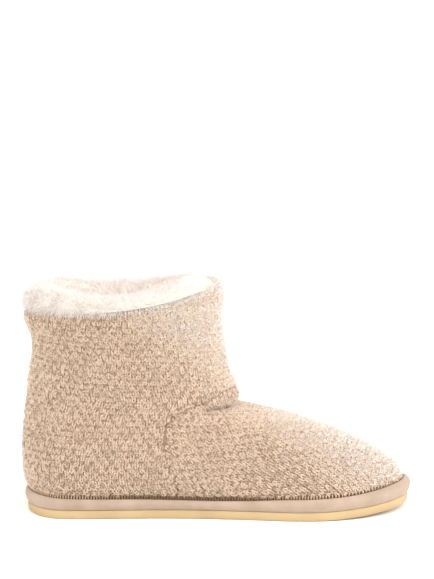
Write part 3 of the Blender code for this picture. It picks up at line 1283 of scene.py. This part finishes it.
@dataclass
class Bottom:
    """The outsole, the wrapped midsole with its rand, and the thread round the rand's lip."""

    last: Last
    columns: int = 256
    outsole_rings: int = 15
    rand_rings: int = 25
    outsole_edge: Table = Table(
        ("row", "offset", "height"),
        (
            (0, -0.0014, 0.0000),
            (1, -0.0006, 0.0003),
            (2, -0.0001, 0.0011),
            (3, 0.0003, 0.0030),
            (4, 0.0002, 0.0048),
            (5, 0.0000, 0.0059),
            (6, -0.0006, 0.0062),
        ),
    )
    rand_edge: Table = Table(
        ("row", "offset", "share"),
        (
            (0, 0.0003, 0.00),
            (1, 0.0014, 0.20),
            (2, 0.0022, 0.52),
            (3, 0.0018, 0.80),
            (4, 0.0005, 1.00),
            (5, -0.0010, 0.93),
            (6, -0.0017, 0.70),
        ),
    )
    pucker_depth: float = 0.12 * MM
    puckers: int = 150
    side_puckers: float = 0.35
    pucker_rows: tuple[float, float, float, float] = (1.2, 4.2, 4.6, 5.6)
    toe_roll: float = 2.4 * MM
    roll_rows: tuple[float, float] = (2.0, 4.6)
    thread_radius: float = 0.48 * MM
    thread_length: float = 2.6 * MM
    thread_inset: float = 0.9 * MM
    thread_toe: tuple[float, float] = (0.70, 0.92)
    thread_pitch: tuple[float, float] = (1.9 * MM, 2.8 * MM)
    thread_height: tuple[float, float] = (2.0 * MM, 2.5 * MM)
    cast_from: float = 30 * MM

    def outsole(self) -> Piece:
        """Build the foam outsole with its rounded edge.

        Returns:
            The piece.
        """
        edge = self.outsole_edge.read(self.outsole_edge.places(self.outsole_rings))
        rows = zip(edge["offset"], np.maximum(edge["height"], 0))
        rings = np.stack([self.last.outsole_ring(turns(self.columns), *row) for row in rows])
        piece = make_piece("outsole_foam", rings, capped(rings), Dressing.OUTSOLE)
        return ride(piece, "outsole_foam", "outsole")

    def rand(self) -> Piece:
        """Build the midsole in its cloth, gathered a little round the toe and the heel.

        Returns:
            The piece.
        """
        angle = turns(self.columns)
        rows = self.rand_edge.places(self.rand_rings)
        edge = self.rand_edge.read(rows)
        ends = smooth_step(0.55, 0.95, np.abs(np.cos(angle)))
        strength = self.side_puckers + (1 - self.side_puckers) * ends
        gathers = np.sin(angle * self.puckers + 2 * np.sin(5 * angle)) * strength
        roll = self.toe_roll * self.last.toe(angle)
        lip = self.last.lip.follow("share", self.last.station(angle))
        rings = []
        for offset, share, row in zip(edge["offset"], edge["share"], rows):
            start, full, fade, end = self.pucker_rows
            rise = smooth_step(start, full, row) * (1 - smooth_step(fade, end, row))
            inward = roll * smooth_step(*self.roll_rows, row)
            out = offset - inward + self.pucker_depth * rise * gathers
            rings.append(self.last.midsole_ring(angle, out, share * lip))
        rings = np.stack(rings)
        piece = make_piece("midsole_rand", rings, capped(rings), Dressing.RAND)
        return ride(piece, "rand_suedette", "midsole")

    def thread_angles(self) -> Array:
        """Space the thread's stitches along the lip, wider apart round the toe.

        Returns:
            The angle of each.
        """
        angle = turns(self.columns)
        line = self.last.lip_ring(angle)
        steps = np.linalg.norm(np.roll(line, -1, axis=0) - line, axis=1)
        close, wide = self.thread_pitch
        pitch = close + (wide - close) * self.last.toe(angle, *self.thread_toe)
        count = np.concatenate([[0.0], np.cumsum(steps / pitch)])
        whole = int(count[-1])
        return np.interp(np.arange(whole) * count[-1] / whole, count, np.append(angle, 2 * math.pi))

    def thread(self, upper: BVHTree) -> Piece:
        """Whip the upper to the rand: each stitch climbs from inside the lip onto the knit.

        Args:
            upper: the knit's outer face.

        Returns:
            The piece.
        """
        angle = self.thread_angles()
        low = self.last.lip_ring(angle, -self.thread_inset - self.toe_roll * self.last.toe(angle))
        least, most = self.thread_height
        height = least + (most - least) * self.last.toe(angle, *self.thread_toe)
        high = []
        for place, out, rise in zip(low, self.last.outline(angle)[1], height):
            inward = Vector((-out[0], -out[1], 0.0))
            start = Vector((place[0], place[1], place[2] + rise)) - self.cast_from * inward
            high.append(upper.ray_cast(start, inward)[0] or place)
        high = np.array(high)
        size = (self.thread_radius, self.thread_length)
        piece = sew("rand_thread", (low + high) / 2, high - low, size, Dressing.THREAD)
        return ride(piece, "rand_suedette")


@dataclass
class UpperForm:
    """The upper's outer face as it is dressed: the last, its creases and its seam."""

    last: Last
    columns: int = 168
    wall_steps: int = 34
    leg_steps: int = 44
    seam: PanelSeam = field(default_factory=PanelSeam)
    toe_tuck: float = 2.0 * MM
    toe_cover: float = 1.6 * MM
    tuck_height: float = 15.0 * MM
    rim_depth: float = 9.0 * MM
    rim_rise: Table = Table(
        ("station", "rise"),
        (
            (0.00, 0.0030),
            (0.10, 0.0024),
            (0.30, 0.0016),
            (0.50, 0.0018),
            (0.75, 0.0022),
            (0.92, 0.0020),
            (1.00, 0.0004),
        ),
    )
    creases: tuple[Crease, ...] = (
        Crease(
            Side.BOTH,
            ((-0.132, 0.1215), (-0.09, 0.1200), (-0.05, 0.1235), (0.004, 0.1330)),
            0.0011,
            0.0042,
        ),
        Crease(Side.BOTH, ((-0.006, 0.0735), (0.004, 0.0725), (0.014, 0.0715)), 0.0014, 0.0026),
        Crease(Side.OUTER, ((-0.028, 0.0775), (-0.010, 0.0845), (0.004, 0.0900)), -0.0010, 0.0040),
        Crease(Side.INNER, ((-0.028, 0.0775), (-0.010, 0.0845), (0.004, 0.0900)), -0.0008, 0.0040),
        Crease(Side.OUTER, ((-0.116, 0.060), (-0.096, 0.052), (-0.082, 0.050)), 0.0007, 0.0070),
        Crease(Side.INNER, ((-0.120, 0.052), (-0.098, 0.058), (-0.080, 0.056)), 0.0007, 0.0070),
        Crease(Side.OUTER, ((0.020, 0.058), (0.006, 0.050), (-0.006, 0.046)), 0.0006, 0.0060),
        Crease(Side.INNER, ((0.018, 0.060), (0.004, 0.053), (-0.008, 0.050)), 0.0006, 0.0060),
    )

    def rings(self, depth: float = 0.0) -> Array:
        """Draw the upper's outer face, or a face inside it.

        Args:
            depth: how far inside the frame's surface the face lies.

        Returns:
            The points, as rings by angles by three.
        """
        angle = turns(self.columns)
        rings = self.last.skin(angle, self.wall_steps, self.leg_steps)
        above = rings[..., 2] - self.last.midsole_ring(angle, 0.0, 1.0)[:, 2]
        tuck = self.toe_tuck * self.last.toe(angle) * (1 - smooth_step(0.0, self.tuck_height, above))
        rings[..., :2] -= self.last.outline(angle)[1] * tuck[..., None]
        below = rings[-1, :, 2] - rings[..., 2]
        rise = self.rim_rise.follow("rise", self.last.station(angle))
        rings[..., 2] += rise * (1 - smooth_step(0.0, self.rim_depth, below))
        normals = surface_normals(rings)
        push = sum(crease.push(rings, normals) for crease in self.creases)
        trough = np.exp(-((self.seam.inside(rings) / self.seam.groove_width) ** 2))
        push = push - self.seam.groove_depth * trough * (1 - self.seam.low_fade * self.seam.low(rings))
        rings = rings + normals * push[..., None]
        return rings - surface_normals(rings) * depth

    def skin(self, depth: float) -> BVHTree:
        """Give a face that rays can be cast at.

        Args:
            depth: how far inside the frame's surface the face lies.

        Returns:
            The face, ready for casting.
        """
        rings = self.rings(depth)
        faces = grid_faces(*rings.shape[:2]).tolist()
        return BVHTree.FromPolygons(rings.reshape(-1, 3).tolist(), faces)

    @property
    def crease_row(self) -> int:
        """The row of the instep crease."""
        return self.wall_steps + 1

    def edges(self, rings: Array) -> Array:
        """Measure how much room each point has.

        Args:
            rings: points of the upper.

        Returns:
            The distance inside the vamp, above the rand's lip, and below the rim.
        """
        angle = turns(self.columns)
        lip = self.last.lip_ring(angle)[:, 2] - self.toe_cover * self.last.toe(angle, 0.75, 0.95)
        inside = self.seam.inside(rings)
        return np.stack([inside, rings[..., 2] - lip, rings[-1, :, 2] - rings[..., 2]], axis=-1)


def lay_flat(panel: Piece, ends: tuple[int, int]) -> Array:
    """Flatten a panel as a cutter would, and turn its grain along the foot.

    Args:
        panel: the panel, one sheet with no hole.
        ends: the numbers of two points whose line the grain follows.

    Returns:
        The flat place of every point, in metres, with the first of the two at the origin.
    """
    mesh = panel.data
    mesh.uv_layers.new(name="cut")
    bpy.context.view_layer.objects.active = panel
    panel.select_set(True)
    bpy.ops.object.mode_set(mode="EDIT")
    bpy.ops.mesh.select_all(action="SELECT")
    bpy.ops.uv.unwrap(method="ANGLE_BASED", margin=0.0)
    bpy.ops.object.mode_set(mode="OBJECT")
    panel.select_set(False)
    corners = np.empty(len(mesh.loops), dtype=int)
    mesh.loops.foreach_get("vertex_index", corners)
    cut = np.empty(len(mesh.loops) * 2)
    mesh.uv_layers["cut"].data.foreach_get("uv", cut)
    flat = np.zeros((len(mesh.vertices), 2))
    flat[corners] = cut.reshape(-1, 2)
    around = [flat[list(face.vertices)] for face in mesh.polygons]
    twice = [np.sum(f[:, 0] * np.roll(f[:, 1], -1) - f[:, 1] * np.roll(f[:, 0], -1)) for f in around]
    signed = sum(twice) / 2
    area = sum(face.area for face in mesh.polygons)
    flat = (flat - flat[ends[0]]) * math.sqrt(area / abs(signed))
    if signed < 0:
        flat[:, 0] *= -1
    run = unit(flat[ends[1]] - flat[ends[0]])
    return np.column_stack([flat @ np.array([run[1], -run[0]]), flat @ run, np.zeros(len(flat))])


@dataclass
class KnitUpper:
    """The knitted upper: its ground cloth, its raised stitches and the loose ends of wool."""

    form: UpperForm
    fine: UpperForm
    ground_depth: float = 1.0 * MM
    ground_wall: float = 1.6 * MM
    panel_overlap: float = 5.0 * MM
    course_pitch: float = 3.375 * MM
    row_pitch: float = 2.1 * MM
    lift: float = 0.30 * MM
    dark_sink: float = 0.35 * MM
    jitter: float = 0.30 * MM
    turn: float = 0.22
    least_stitch: Triple = (0.90, 0.88, 0.80)
    most_stitch: Triple = (1.10, 1.14, 1.20)
    # The wider margin above the sole leaves the darker ground bare as a band of painted shade above the
    # rand.
    margins: Triple = (1.0 * MM, 1.9 * MM, 0.0)
    ridge_half: float = 6 * MM
    grain_start: float = 20 * MM
    link_radius: float = 0.45 * MM
    link_pitch: float = 2.1 * MM
    link_lift: float = 0.50 * MM
    link_cast: float = 0.2
    # The wool ends grow longer, wider and denser towards the front and top, so that their near-white
    # colour paints the hazy sheen of the light there.
    haze_line: tuple[float, float] = (0.080, 0.145)
    haze_rise: float = 1.2
    front_haze: Triple = (1.2, 1.2, 0.6)
    back_thinning: float = 0.35
    fuzz_lift: float = 1.0 * MM
    fuzz_start: float = 2.0 * MM
    seed: int = 7
    wool_ends: Pile = Pile(
        Dressing.FUZZ,
        density=0.75 / MM**2,
        radius=(0.07 * MM, 0.14 * MM),
        length=(1.0 * MM, 2.6 * MM),
        lock_size=4 * MM,
        lock_lean=1.0,
        spread=0.8,
        sink=0.6 * MM,
        seed=7,
        bend=10.0,
    )

    def ground(self) -> Piece:
        """Build the cloth behind the stitches, one hollow wall open at collar and sole, in a darker copy
        of the yarn that paints the shade between the stitches.

        Returns:
            The piece.
        """
        outer = self.form.rings(self.ground_depth)
        inner = self.form.rings(self.ground_depth + self.ground_wall)
        rings = np.concatenate([outer, inner[::-1]])
        faces = grid_faces(*rings.shape[:2], wrap_rows=True)
        piece = make_piece("upper_knit_ground", rings, faces, Dressing.GROUND)
        return ride(piece, "upper_knit", "upper")

    def quarter(self, side: Side) -> Piece:
        """Lay the pattern of the quarter: courses level, wales up the leg.

        Args:
            side: the side of the foot that the piece is for.

        Returns:
            The panel, a helper object with its flat pattern.
        """
        rings = self.fine.rings(self.ground_depth)
        edges = self.fine.edges(rings)
        edges[..., 0] *= -1
        columns = rings.shape[1]
        sign = 1 if side is Side.OUTER else -1
        order = sign * np.arange(columns // 2 + 1) % columns
        rings, edges = rings[:, order], edges[:, order]
        step = np.linalg.norm(np.diff(rings, axis=1), axis=2)
        along = np.pad(np.cumsum(step, axis=1), ((0, 0), (1, 0)))
        crease = self.fine.crease_row
        repeat = 2 * self.course_pitch
        whole = round(along[crease, -1] / repeat) * repeat
        length = np.where(np.arange(len(rings)) < crease, along[crease, -1], along[:, -1])
        along = along * whole / length[:, None]
        rise = np.linalg.norm(np.diff(rings, axis=0), axis=2)
        up = np.pad(np.cumsum(rise, axis=0), ((1, 0), (0, 0)))
        up = up - up[crease]
        flat = np.stack([sign * along, up, np.zeros_like(up)], axis=-1)
        return self.panel(f"quarter_pattern_{side.name.lower()}", rings, edges, flat, side is Side.INNER)

    def vamp(self) -> Piece:
        """Lay the pattern of the vamp: wales along the foot, from the instep to the toe.

        The pattern is cut over the smooth form, before the seam and the creases draw it in.

        Returns:
            The panel, a helper object with its flat pattern.
        """
        rings = self.fine.rings(self.ground_depth)
        edges = self.fine.edges(rings)
        smooth = replace(self.fine, creases=(), seam=replace(self.fine.seam, groove_depth=0.0))
        cut = self.panel("vamp_cut", smooth.rings(self.ground_depth), edges)
        x, y, z = np.array([v.co for v in cut.data.vertices]).T
        ridge = np.abs(y - self.form.last.sole.follow("centre", 0.9)) < self.ridge_half
        instep = np.where(ridge & (x < 30 * MM), x, 1.0)
        toe = np.where(ridge & (z > 30 * MM), x, -1.0)
        flat = lay_flat(cut, (int(np.argmin(np.abs(instep - self.grain_start))), int(np.argmax(toe))))
        bpy.data.objects.remove(cut, do_unlink=True)
        panel = self.panel("vamp_pattern", rings, edges)
        store(panel, "flat", flat)
        return panel

    def panel(
        self, name: str, rings: Array, edges: Array, flat: Array | None = None, flip: bool = False
    ) -> Piece:
        """Make the part of the upper that lies inside the seam, with a few millimetres over.

        Args:
            name: the panel's name.
            rings: its points.
            edges: the room at each point, the first number counted from the seam.
            flat: the flat place of each point, if it is known. The points are then half a turn.
            flip: whether its columns run the other way round.

        Returns:
            A helper object.
        """
        faces = grid_faces(*rings.shape[:2], around=flat is None)
        faces = faces[edges[..., 0].reshape(-1)[faces].max(axis=1) > -self.panel_overlap]
        room = edges.copy()
        room[..., 0] += self.fine.seam.cover(rings)
        used, renumbered = np.unique(faces[:, ::-1] if flip else faces, return_inverse=True)
        piece = make_piece(name, rings.reshape(-1, 3)[used], renumbered.reshape(-1, 4), Dressing.YARN)
        store(piece, "edges", room.reshape(-1, 3)[used])
        if flat is not None:
            store(piece, "flat", flat.reshape(-1, 3)[used])
        return piece

    def stitches(self, name: str, panel: Piece, seed: int) -> Piece:
        """Knit a panel's raised stitches.

        Args:
            name: the piece's name.
            panel: the panel with its flat pattern, which is removed.
            seed: the seed of what differs from stitch to stitch.

        Returns:
            The piece.
        """
        flat = np.empty(len(panel.data.vertices) * 3, dtype=np.float32)
        panel.data.attributes["flat"].data.foreach_get("vector", flat)
        flat = flat.reshape(-1, 3).astype(float)
        repeat = np.array([2 * self.course_pitch, 4 * self.row_pitch, 1.0])
        first = (np.floor(flat.min(axis=0) / repeat) - [1, 1, 0]) * repeat + [self.course_pitch / 2, 0, 0]
        span = flat.max(axis=0) - first
        values = {
            "First": tuple(float(x) for x in first),
            "Course Pitch": self.course_pitch,
            "Row Pitch": self.row_pitch,
            "Rows": int(span[1] / self.row_pitch) + 2,
            "Stitches": int(span[0] / self.course_pitch) + 2,
            "Margins": self.margins,
            "Lift": self.lift,
            "Dark Sink": self.dark_sink,
            "Jitter": self.jitter,
            "Turn": self.turn,
            "Least Size": self.least_stitch,
            "Most Size": self.most_stitch,
            "Seed": seed,
        }
        return ride(run(knit_tree(), name, panel, knit_stitch(), Dressing.YARN, values), "upper_knit")

    def linking(self) -> Piece:
        """Sew quarters and vamp together with dark wool along the bottom of the groove.

        Returns:
            The piece.
        """
        skin = self.fine.skin(self.ground_depth - self.link_lift)
        halves = []
        for side in (Side.OUTER, Side.INNER):
            away = side.value * self.link_cast
            back = Vector((0.0, -away, 0.0))
            cast = [skin.ray_cast(Vector((x, away, z)), back)[0] for x, z in self.fine.seam.path()]
            halves.append([place for place in cast if place and place.y * away > 0])
        line = np.array([*halves[0], *halves[1][::-1]])
        steps = np.linalg.norm(np.diff(line, axis=0), axis=1)
        length = np.concatenate([[0.0], np.cumsum(steps)])
        at = np.arange(0, length[-1], self.link_pitch)
        places = np.column_stack([np.interp(at, length, column) for column in line.T])
        size = (self.link_radius, 1.1 * self.link_pitch)
        piece = sew("panel_linking", places, np.gradient(places, axis=0), size, Dressing.LINK)
        return ride(piece, "upper_knit")

    def fuzz(self) -> Piece:
        """Raise the loose wool ends that soften the cloth's outline, massed towards the front and top as a
        painted sheen.

        Returns:
            The piece.
        """
        rings = self.form.rings(self.ground_depth - self.fuzz_lift)
        above = self.form.edges(rings)[..., 1]
        faces = grid_faces(*rings.shape[:2])
        faces = faces[above.reshape(-1)[faces].min(axis=1) > self.fuzz_start]
        skin = make_piece("fuzz_skin", rings, faces, self.wool_ends.finish)
        # Painted sheen: more and longer near-white ends towards the front and top.
        forward = rings[..., 0] + self.haze_rise * rings[..., 2]
        front = smooth_step(*self.haze_line, forward).reshape(-1, 1)
        store(skin, "longer", front * self.front_haze)
        store(skin, "denser", front - self.back_thinning)
        return ride(self.wool_ends.grow("upper_wool_fuzz", skin), "upper_knit")

    def build(self) -> list[Piece]:
        """Build every piece of the upper.

        Returns:
            The pieces.
        """
        patterns = {
            "quarter_knit_outer": self.quarter(Side.OUTER),
            "quarter_knit_inner": self.quarter(Side.INNER),
            "vamp_knit": self.vamp(),
        }
        pieces = [self.ground()]
        for k, (name, pattern) in enumerate(patterns.items()):
            pieces.append(self.stitches(name, pattern, self.seed + 10 * k))
        return [*pieces, self.linking(), self.fuzz()]


@dataclass
class FurCollar:
    """The roll of deep fur on the rim: a soft base in locks, and the fibres on it."""

    last: Last
    columns: int = 200
    rows: int = 60
    inset: float = 2.0 * MM
    inset_rows: tuple[float, float] = (4.2, 7.5)
    bare_share: float = 0.30
    locks: int = 20
    lock_depth: float = 1.3 * MM
    lock_slant: float = 0.9
    lock_unevenness: float = 0.35
    roll_half: float = 10.0 * MM
    edge_rows: tuple[float, float] = (6.4, 8.0)
    edge_crowd: float = 0.15
    tip_shortening: float = 0.55
    hairs: Pile = Pile(
        Dressing.FUR,
        density=0.95 / MM**2,
        radius=(0.09 * MM, 0.16 * MM),
        length=(3.6 * MM, 6.6 * MM),
        lock_size=9 * MM,
        lock_lean=1.6,
        spread=0.5,
        sink=0.5 * MM,
        seed=31,
        bend=14.0,
        joints=1,
    )
    combing: Table = Table(
        ("row", "out", "up", "longer"),
        (
            (4.4, 0.5, -1.0, -0.3),
            (5.4, 1.0, -1.2, 0.1),
            (6.4, 1.0, -1.5, 0.1),
            (7.5, 0.3, -1.1, 0.1),
            (9.0, 0.0, 0.1, 0.0),
            (11.0, -0.3, 0.4, 0.1),
            (13.0, -0.2, 0.9, 0.2),
            (15.0, 0.0, 1.2, 0.3),
        ),
    )
    section: Table = Table(
        ("row", "level", "out", "up", "height_share", "lock_share"),
        (
            (0, Ring.NECK, -0.0034, 0.0000, 0.00, 0.0),
            (1, Ring.COLLAR_LOW, -0.0036, 0.0000, 0.00, 0.0),
            (2, Ring.COLLAR, -0.0034, 0.0000, 0.00, 0.0),
            (3, Ring.RIM, -0.0034, -0.0016, 0.00, 0.0),
            (4, Ring.RIM, -0.0026, 0.0016, 0.00, 0.0),
            (5, Ring.RIM, -0.0002, 0.0019, 0.00, 0.2),
            (6, Ring.RIM, 0.0014, 0.0017, 0.05, 0.6),
            (7, Ring.RIM, 0.0021, 0.0012, 0.38, 1.0),
            (8, Ring.RIM, 0.0002, 0.0000, 0.74, 1.0),
            (9, Ring.RIM, -0.0040, 0.0000, 0.98, 1.0),
            (10, Ring.RIM, -0.0100, 0.0000, 1.00, 1.0),
            (11, Ring.RIM, -0.0190, 0.0000, 0.98, 1.0),
            (12, Ring.RIM, -0.0270, -0.0005, 0.74, 0.8),
            (13, Ring.RIM, -0.0315, -0.0060, 0.20, 0.5),
            (14, Ring.RIM, -0.0270, -0.0150, 0.00, 0.3),
            (15, Ring.NECK, -0.0105, 0.0000, 0.00, 0.1),
        ),
    )
    fur: Table = Table(
        ("station", "height", "lean", "reach"),
        (
            (0.00, 0.0150, 0.0012, 0.60),
            (0.12, 0.0156, 0.0010, 0.66),
            (0.30, 0.0112, 0.0002, 0.92),
            (0.50, 0.0080, -0.0004, 1.00),
            (0.75, 0.0070, -0.0008, 0.92),
            (0.90, 0.0066, -0.0018, 0.66),
            (1.00, 0.0026, -0.0044, 0.58),
        ),
    )

    def lock_shape(self, angle: Array, slant: float) -> Array:
        """Give how far the fur stands out at each angle: clumps with grooves between.

        Args:
            angle: the angles.
            slant: how far the locks have moved round, as a share of a lock.

        Returns:
            A number about 0 at each angle, positive on a clump.
        """
        clump = np.abs(np.sin(angle * self.locks / 2 + math.pi * slant)) ** 0.7
        uneven = np.sin(3 * angle + 1.0) * np.sin(7 * angle + 2.2)
        return (clump - 0.6) * (1 + self.lock_unevenness * uneven)

    def rings(self) -> Array:
        """Draw the fur's surface, up inside the shaft, over the rim and down again.

        Returns:
            The points, as rings by angles by three.
        """
        angle = turns(self.columns)
        fur = self.fur.read(self.last.station(angle))
        outward = self.last.shaft_outward(angle)
        middle = self.section.column("out").mean()
        rings = []
        for at in self.section.places(self.rows):
            row = self.section.read(at)
            slant = self.lock_slant * at / len(self.section.rows)
            lock = self.lock_depth * row["lock_share"] * self.lock_shape(angle, slant)
            side = 1 if row["out"] > middle else -1
            share = row["height_share"]
            drawn_in = min(0.0, row["out"] + self.roll_half) * (1 - fur["reach"])
            lean = fur["lean"] * min(1.0, share * 2)
            shift = row["out"] - drawn_in + lean + lock * side * (1 - share)
            ring = self.last.shaft_ring(min(row["level"], float(Ring.RIM)), angle)
            ring[:, :2] += outward * shift[:, None]
            ring[:, 2] += row["up"] + share * (fur["height"] + lock)
            rings.append(ring)
        return np.stack(rings)

    def combed(self, skin: Piece) -> Piece:
        """Comb the fur down over the knit and up from inside, and shorten it at the front tip.

        Args:
            skin: the surface that the fibres grow on.

        Returns:
            The surface, which now says how its fibres grow.
        """
        at = self.section.places(self.rows)
        angle = turns(self.columns)
        comb = {name: value[:, None] for name, value in self.combing.read(at).items()}
        out = comb["out"][..., None] * self.last.shaft_outward(angle)
        up = np.broadcast_to(comb["up"][..., None], (*out.shape[:2], 1))
        store(skin, "comb", np.concatenate([out, up], axis=2).reshape(-1, 3))
        short_at_tip = self.tip_shortening * self.last.toe(angle, 0.86, 0.98)
        length = (1 + comb["longer"]) * (1 - short_at_tip) - 1
        longer = np.zeros((length.size, 3))
        longer[:, 2] = length.reshape(-1)
        store(skin, "longer", longer)
        edge = 1 - smooth_step(*self.edge_rows, np.repeat(at, self.columns))
        store(skin, "denser", self.edge_crowd * edge[:, None])
        return skin

    def build(self) -> list[Piece]:
        """Build the fur's base and its fibres.

        Returns:
            The pieces.
        """
        rings = self.rings()
        deep = smooth_step(*self.inset_rows, self.section.places(self.rows)) * self.inset
        rings = rings - surface_normals(rings, wrap_rows=True) * deep[:, None, None]
        faces = grid_faces(self.rows, self.columns, wrap_rows=True)
        base = make_piece("collar_fur_base", rings, faces, Dressing.FUR_ROOTS)
        first = int(self.rows * self.bare_share) * self.columns
        skin = make_piece("fur_skin", rings, faces[first : -2 * self.columns], self.hairs.finish)
        fibres = self.hairs.grow("collar_fur_fibres", self.combed(skin))
        return [ride(base, "collar_fur", "fur_collar"), ride(fibres, "collar_fur")]


@dataclass
class Inside:
    """What shows inside the shaft: the fleece lining and the pile insole."""

    last: Last
    insole_columns: int = 160
    insole_inset: float = 5.8 * MM
    insole_thickness: float = 5.0 * MM
    insole_round: float = 1.8 * MM
    edge_rings: int = 6
    edge_foot: float = 0.62
    toe_lean: float = 4.2 * MM
    heel_dent: float = 0.9 * MM
    heel_place: float = -90 * MM
    heel_width: float = 30 * MM
    lining_inset: float = 2.9 * MM
    lining_wall: float = 1.6 * MM
    lining_columns: int = 112
    lining_steps: tuple[int, int] = (18, 22)
    hidden_rings: int = 3
    pile_start: float = 24 * MM
    fleece: Pile = Pile(
        Dressing.LINING,
        density=0.30 / MM**2,
        radius=(0.16 * MM, 0.30 * MM),
        length=(2.0 * MM, 4.2 * MM),
        lock_size=4 * MM,
        lock_lean=2.0,
        spread=0.6,
        sink=0.3 * MM,
        seed=53,
        bend=6.0,
    )

    def insole(self) -> Piece:
        """Build the insole: a soft pad with rounded edges, dented a little by the heel.

        Returns:
            The piece.
        """
        last, angle = self.last, turns(self.insole_columns)
        station = last.station(angle)
        lean = self.toe_lean * station**4
        rings = [last.midsole_ring(angle, -self.insole_inset, last.channel_share, last.joint_gap)]
        for k in range(self.edge_rings):
            turn = k / (self.edge_rings - 1) * math.pi / 2
            share = self.edge_foot + (1 - self.edge_foot) * math.sin(turn)
            inset = self.insole_inset + self.insole_round * (1 - math.cos(turn)) + lean * share
            up = last.joint_gap + share * self.insole_thickness
            rings.append(last.midsole_ring(angle, -inset, last.channel_share, up))
        rim = rings[-1]
        middle = np.column_stack([rim[:, 0], last.sole.follow("centre", station), rim[:, 2]])
        for share in (0.15, 0.35, 0.55, 0.75, 0.9):
            ring = rim + (middle - rim) * share
            near_heel = np.exp(-(((ring[:, 0] - self.heel_place) / self.heel_width) ** 2))
            ring[:, 2] -= self.heel_dent * near_heel * share
            rings.append(ring)
        rings = np.stack(rings)
        piece = make_piece("insole_pad", rings, capped(rings), self.fleece.finish)
        ride(piece, "insole_pile", "insole")
        return piece

    def tufts(self, pad: Piece) -> Piece:
        """Grow the short pile on the top of the insole's pad.

        Args:
            pad: the pad.

        Returns:
            The piece.
        """
        up = [list(face.vertices) for face in pad.data.polygons if face.normal.z > 0.7]
        places = np.array([v.co for v in pad.data.vertices])
        skin = make_piece("tuft_skin", places, up, self.fleece.finish)
        short = replace(self.fleece, density=0.50 / MM**2, length=(1.4 * MM, 2.6 * MM))
        return ride(short.grow("insole_tufts", skin), "insole_pile")

    def lining(self) -> list[Piece]:
        """Build the fleece lining from the insole up to the fur, and its pile.

        Returns:
            The pieces.
        """
        rings = self.last.skin(turns(self.lining_columns), *self.lining_steps, top=Ring.NECK)
        rings = rings[self.hidden_rings :]
        normals = surface_normals(rings)
        outer = rings - normals * self.lining_inset
        inner = rings - normals * (self.lining_inset + self.lining_wall)
        wall = np.concatenate([outer, inner[::-1]])
        faces = grid_faces(*wall.shape[:2], wrap_rows=True)
        shell = make_piece("lining_fleece", wall, faces, self.fleece.finish)
        faces = grid_faces(*inner.shape[:2])[:, ::-1]
        faces = faces[inner[..., 2].reshape(-1)[faces].min(axis=1) > self.pile_start]
        skin = make_piece("lining_skin", inner, faces, self.fleece.finish)
        hairs = self.fleece.grow("lining_pile", skin)
        return [ride(shell, "insole_pile"), ride(hairs, "insole_pile")]

    def build(self) -> list[Piece]:
        """Build the insole and the lining.

        Returns:
            The pieces.
        """
        pad = self.insole()
        return [pad, self.tufts(pad), *self.lining()]


# ================================================================ the studio


@dataclass
class Studio:
    """A plain pale floor, soft light all round and a camera at the height of a low table."""

    elevation: float = 11.0
    distance: float = 3.0
    lens: float = 276.35
    target: Triple = (-0.000675, 0.0, 0.1513)
    floor_size: float = 12.0
    lamp_aim: float = 0.07
    sky: float = 0.55
    lamps: tuple[tuple[str, Triple, float, float, float], ...] = (
        # name, place, width and power of each lamp, and how far back it is aimed
        ("key_right", (1.8, -0.45, 0.7), 2.4, 66.0, 0.0),
        ("front", (0.0, -1.8, 0.8), 2.0, 22.0, 0.0),
        ("high", (-0.1, -1.1, 1.6), 1.4, 12.0, 0.0),
        ("fill_left", (-1.7, -0.6, 0.7), 2.4, 32.0, 0.0),
        ("floor_far", (0.0, 2.4, 1.8), 3.0, 36.0, 2.6),
    )

    def camera(self) -> None:
        """Set the camera."""
        tilt = math.radians(self.elevation)
        data = bpy.data.cameras.new("camera")
        data.lens = self.lens
        data.sensor_width = 36.0
        data.clip_end = 50.0
        eye = add_object("camera", data)
        back = Vector((0.0, -math.cos(tilt), math.sin(tilt)))
        eye.location = Vector(self.target) + back * self.distance
        eye.rotation_euler = (-back).to_track_quat("-Z", "Y").to_euler()
        bpy.context.scene.camera = eye

    def floor(self) -> None:
        """Lay the floor."""
        half = self.floor_size / 2
        corners = np.array([(-half, -half, 0), (half, -half, 0), (half, half, 0), (-half, half, 0)])
        make_piece("floor", corners, [(0, 1, 2, 3)], Dressing.FLOOR)

    def light(self) -> None:
        """Set the sky and the lamps."""
        scene = bpy.context.scene
        scene.world = bpy.data.worlds.new("soft_sky")
        scene.world.use_nodes = True
        sky = scene.world.node_tree.nodes["Background"]
        sky.inputs["Color"].default_value = (1.0, 1.0, 1.0, 1.0)
        sky.inputs["Strength"].default_value = self.sky
        for name, place, width, power, back in self.lamps:
            data = bpy.data.lights.new(name, "AREA")
            data.size = width
            data.energy = power
            lamp = add_object(name, data)
            lamp.location = place
            aim = Vector((0.0, back, self.lamp_aim)) - lamp.location
            lamp.rotation_euler = aim.to_track_quat("-Z", "Y").to_euler()
        scene.view_settings.view_transform = "Standard"
        scene.view_settings.look = "None"

    def build(self) -> None:
        """Set up the whole studio."""
        self.camera()
        self.floor()
        self.light()


def main() -> None:
    """Dress the slipper on its frame."""
    logging.basicConfig(level=logging.INFO, format="%(name)s: %(message)s")
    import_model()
    last = Last()
    form = UpperForm(last)
    fine = UpperForm(last, columns=288, wall_steps=56, leg_steps=76)
    bottom = Bottom(last)
    pieces = [bottom.outsole(), bottom.rand(), bottom.thread(form.skin(0.0))]
    pieces += KnitUpper(form, fine).build()
    pieces += Inside(last).build()
    pieces += FurCollar(last).build()
    for piece in pieces:
        triangles = sum(len(face.vertices) - 2 for face in piece.data.polygons)
        log.info("%s: %d triangles", piece.name, triangles)
    Studio().build()


if __name__ == "__main__":
    main()
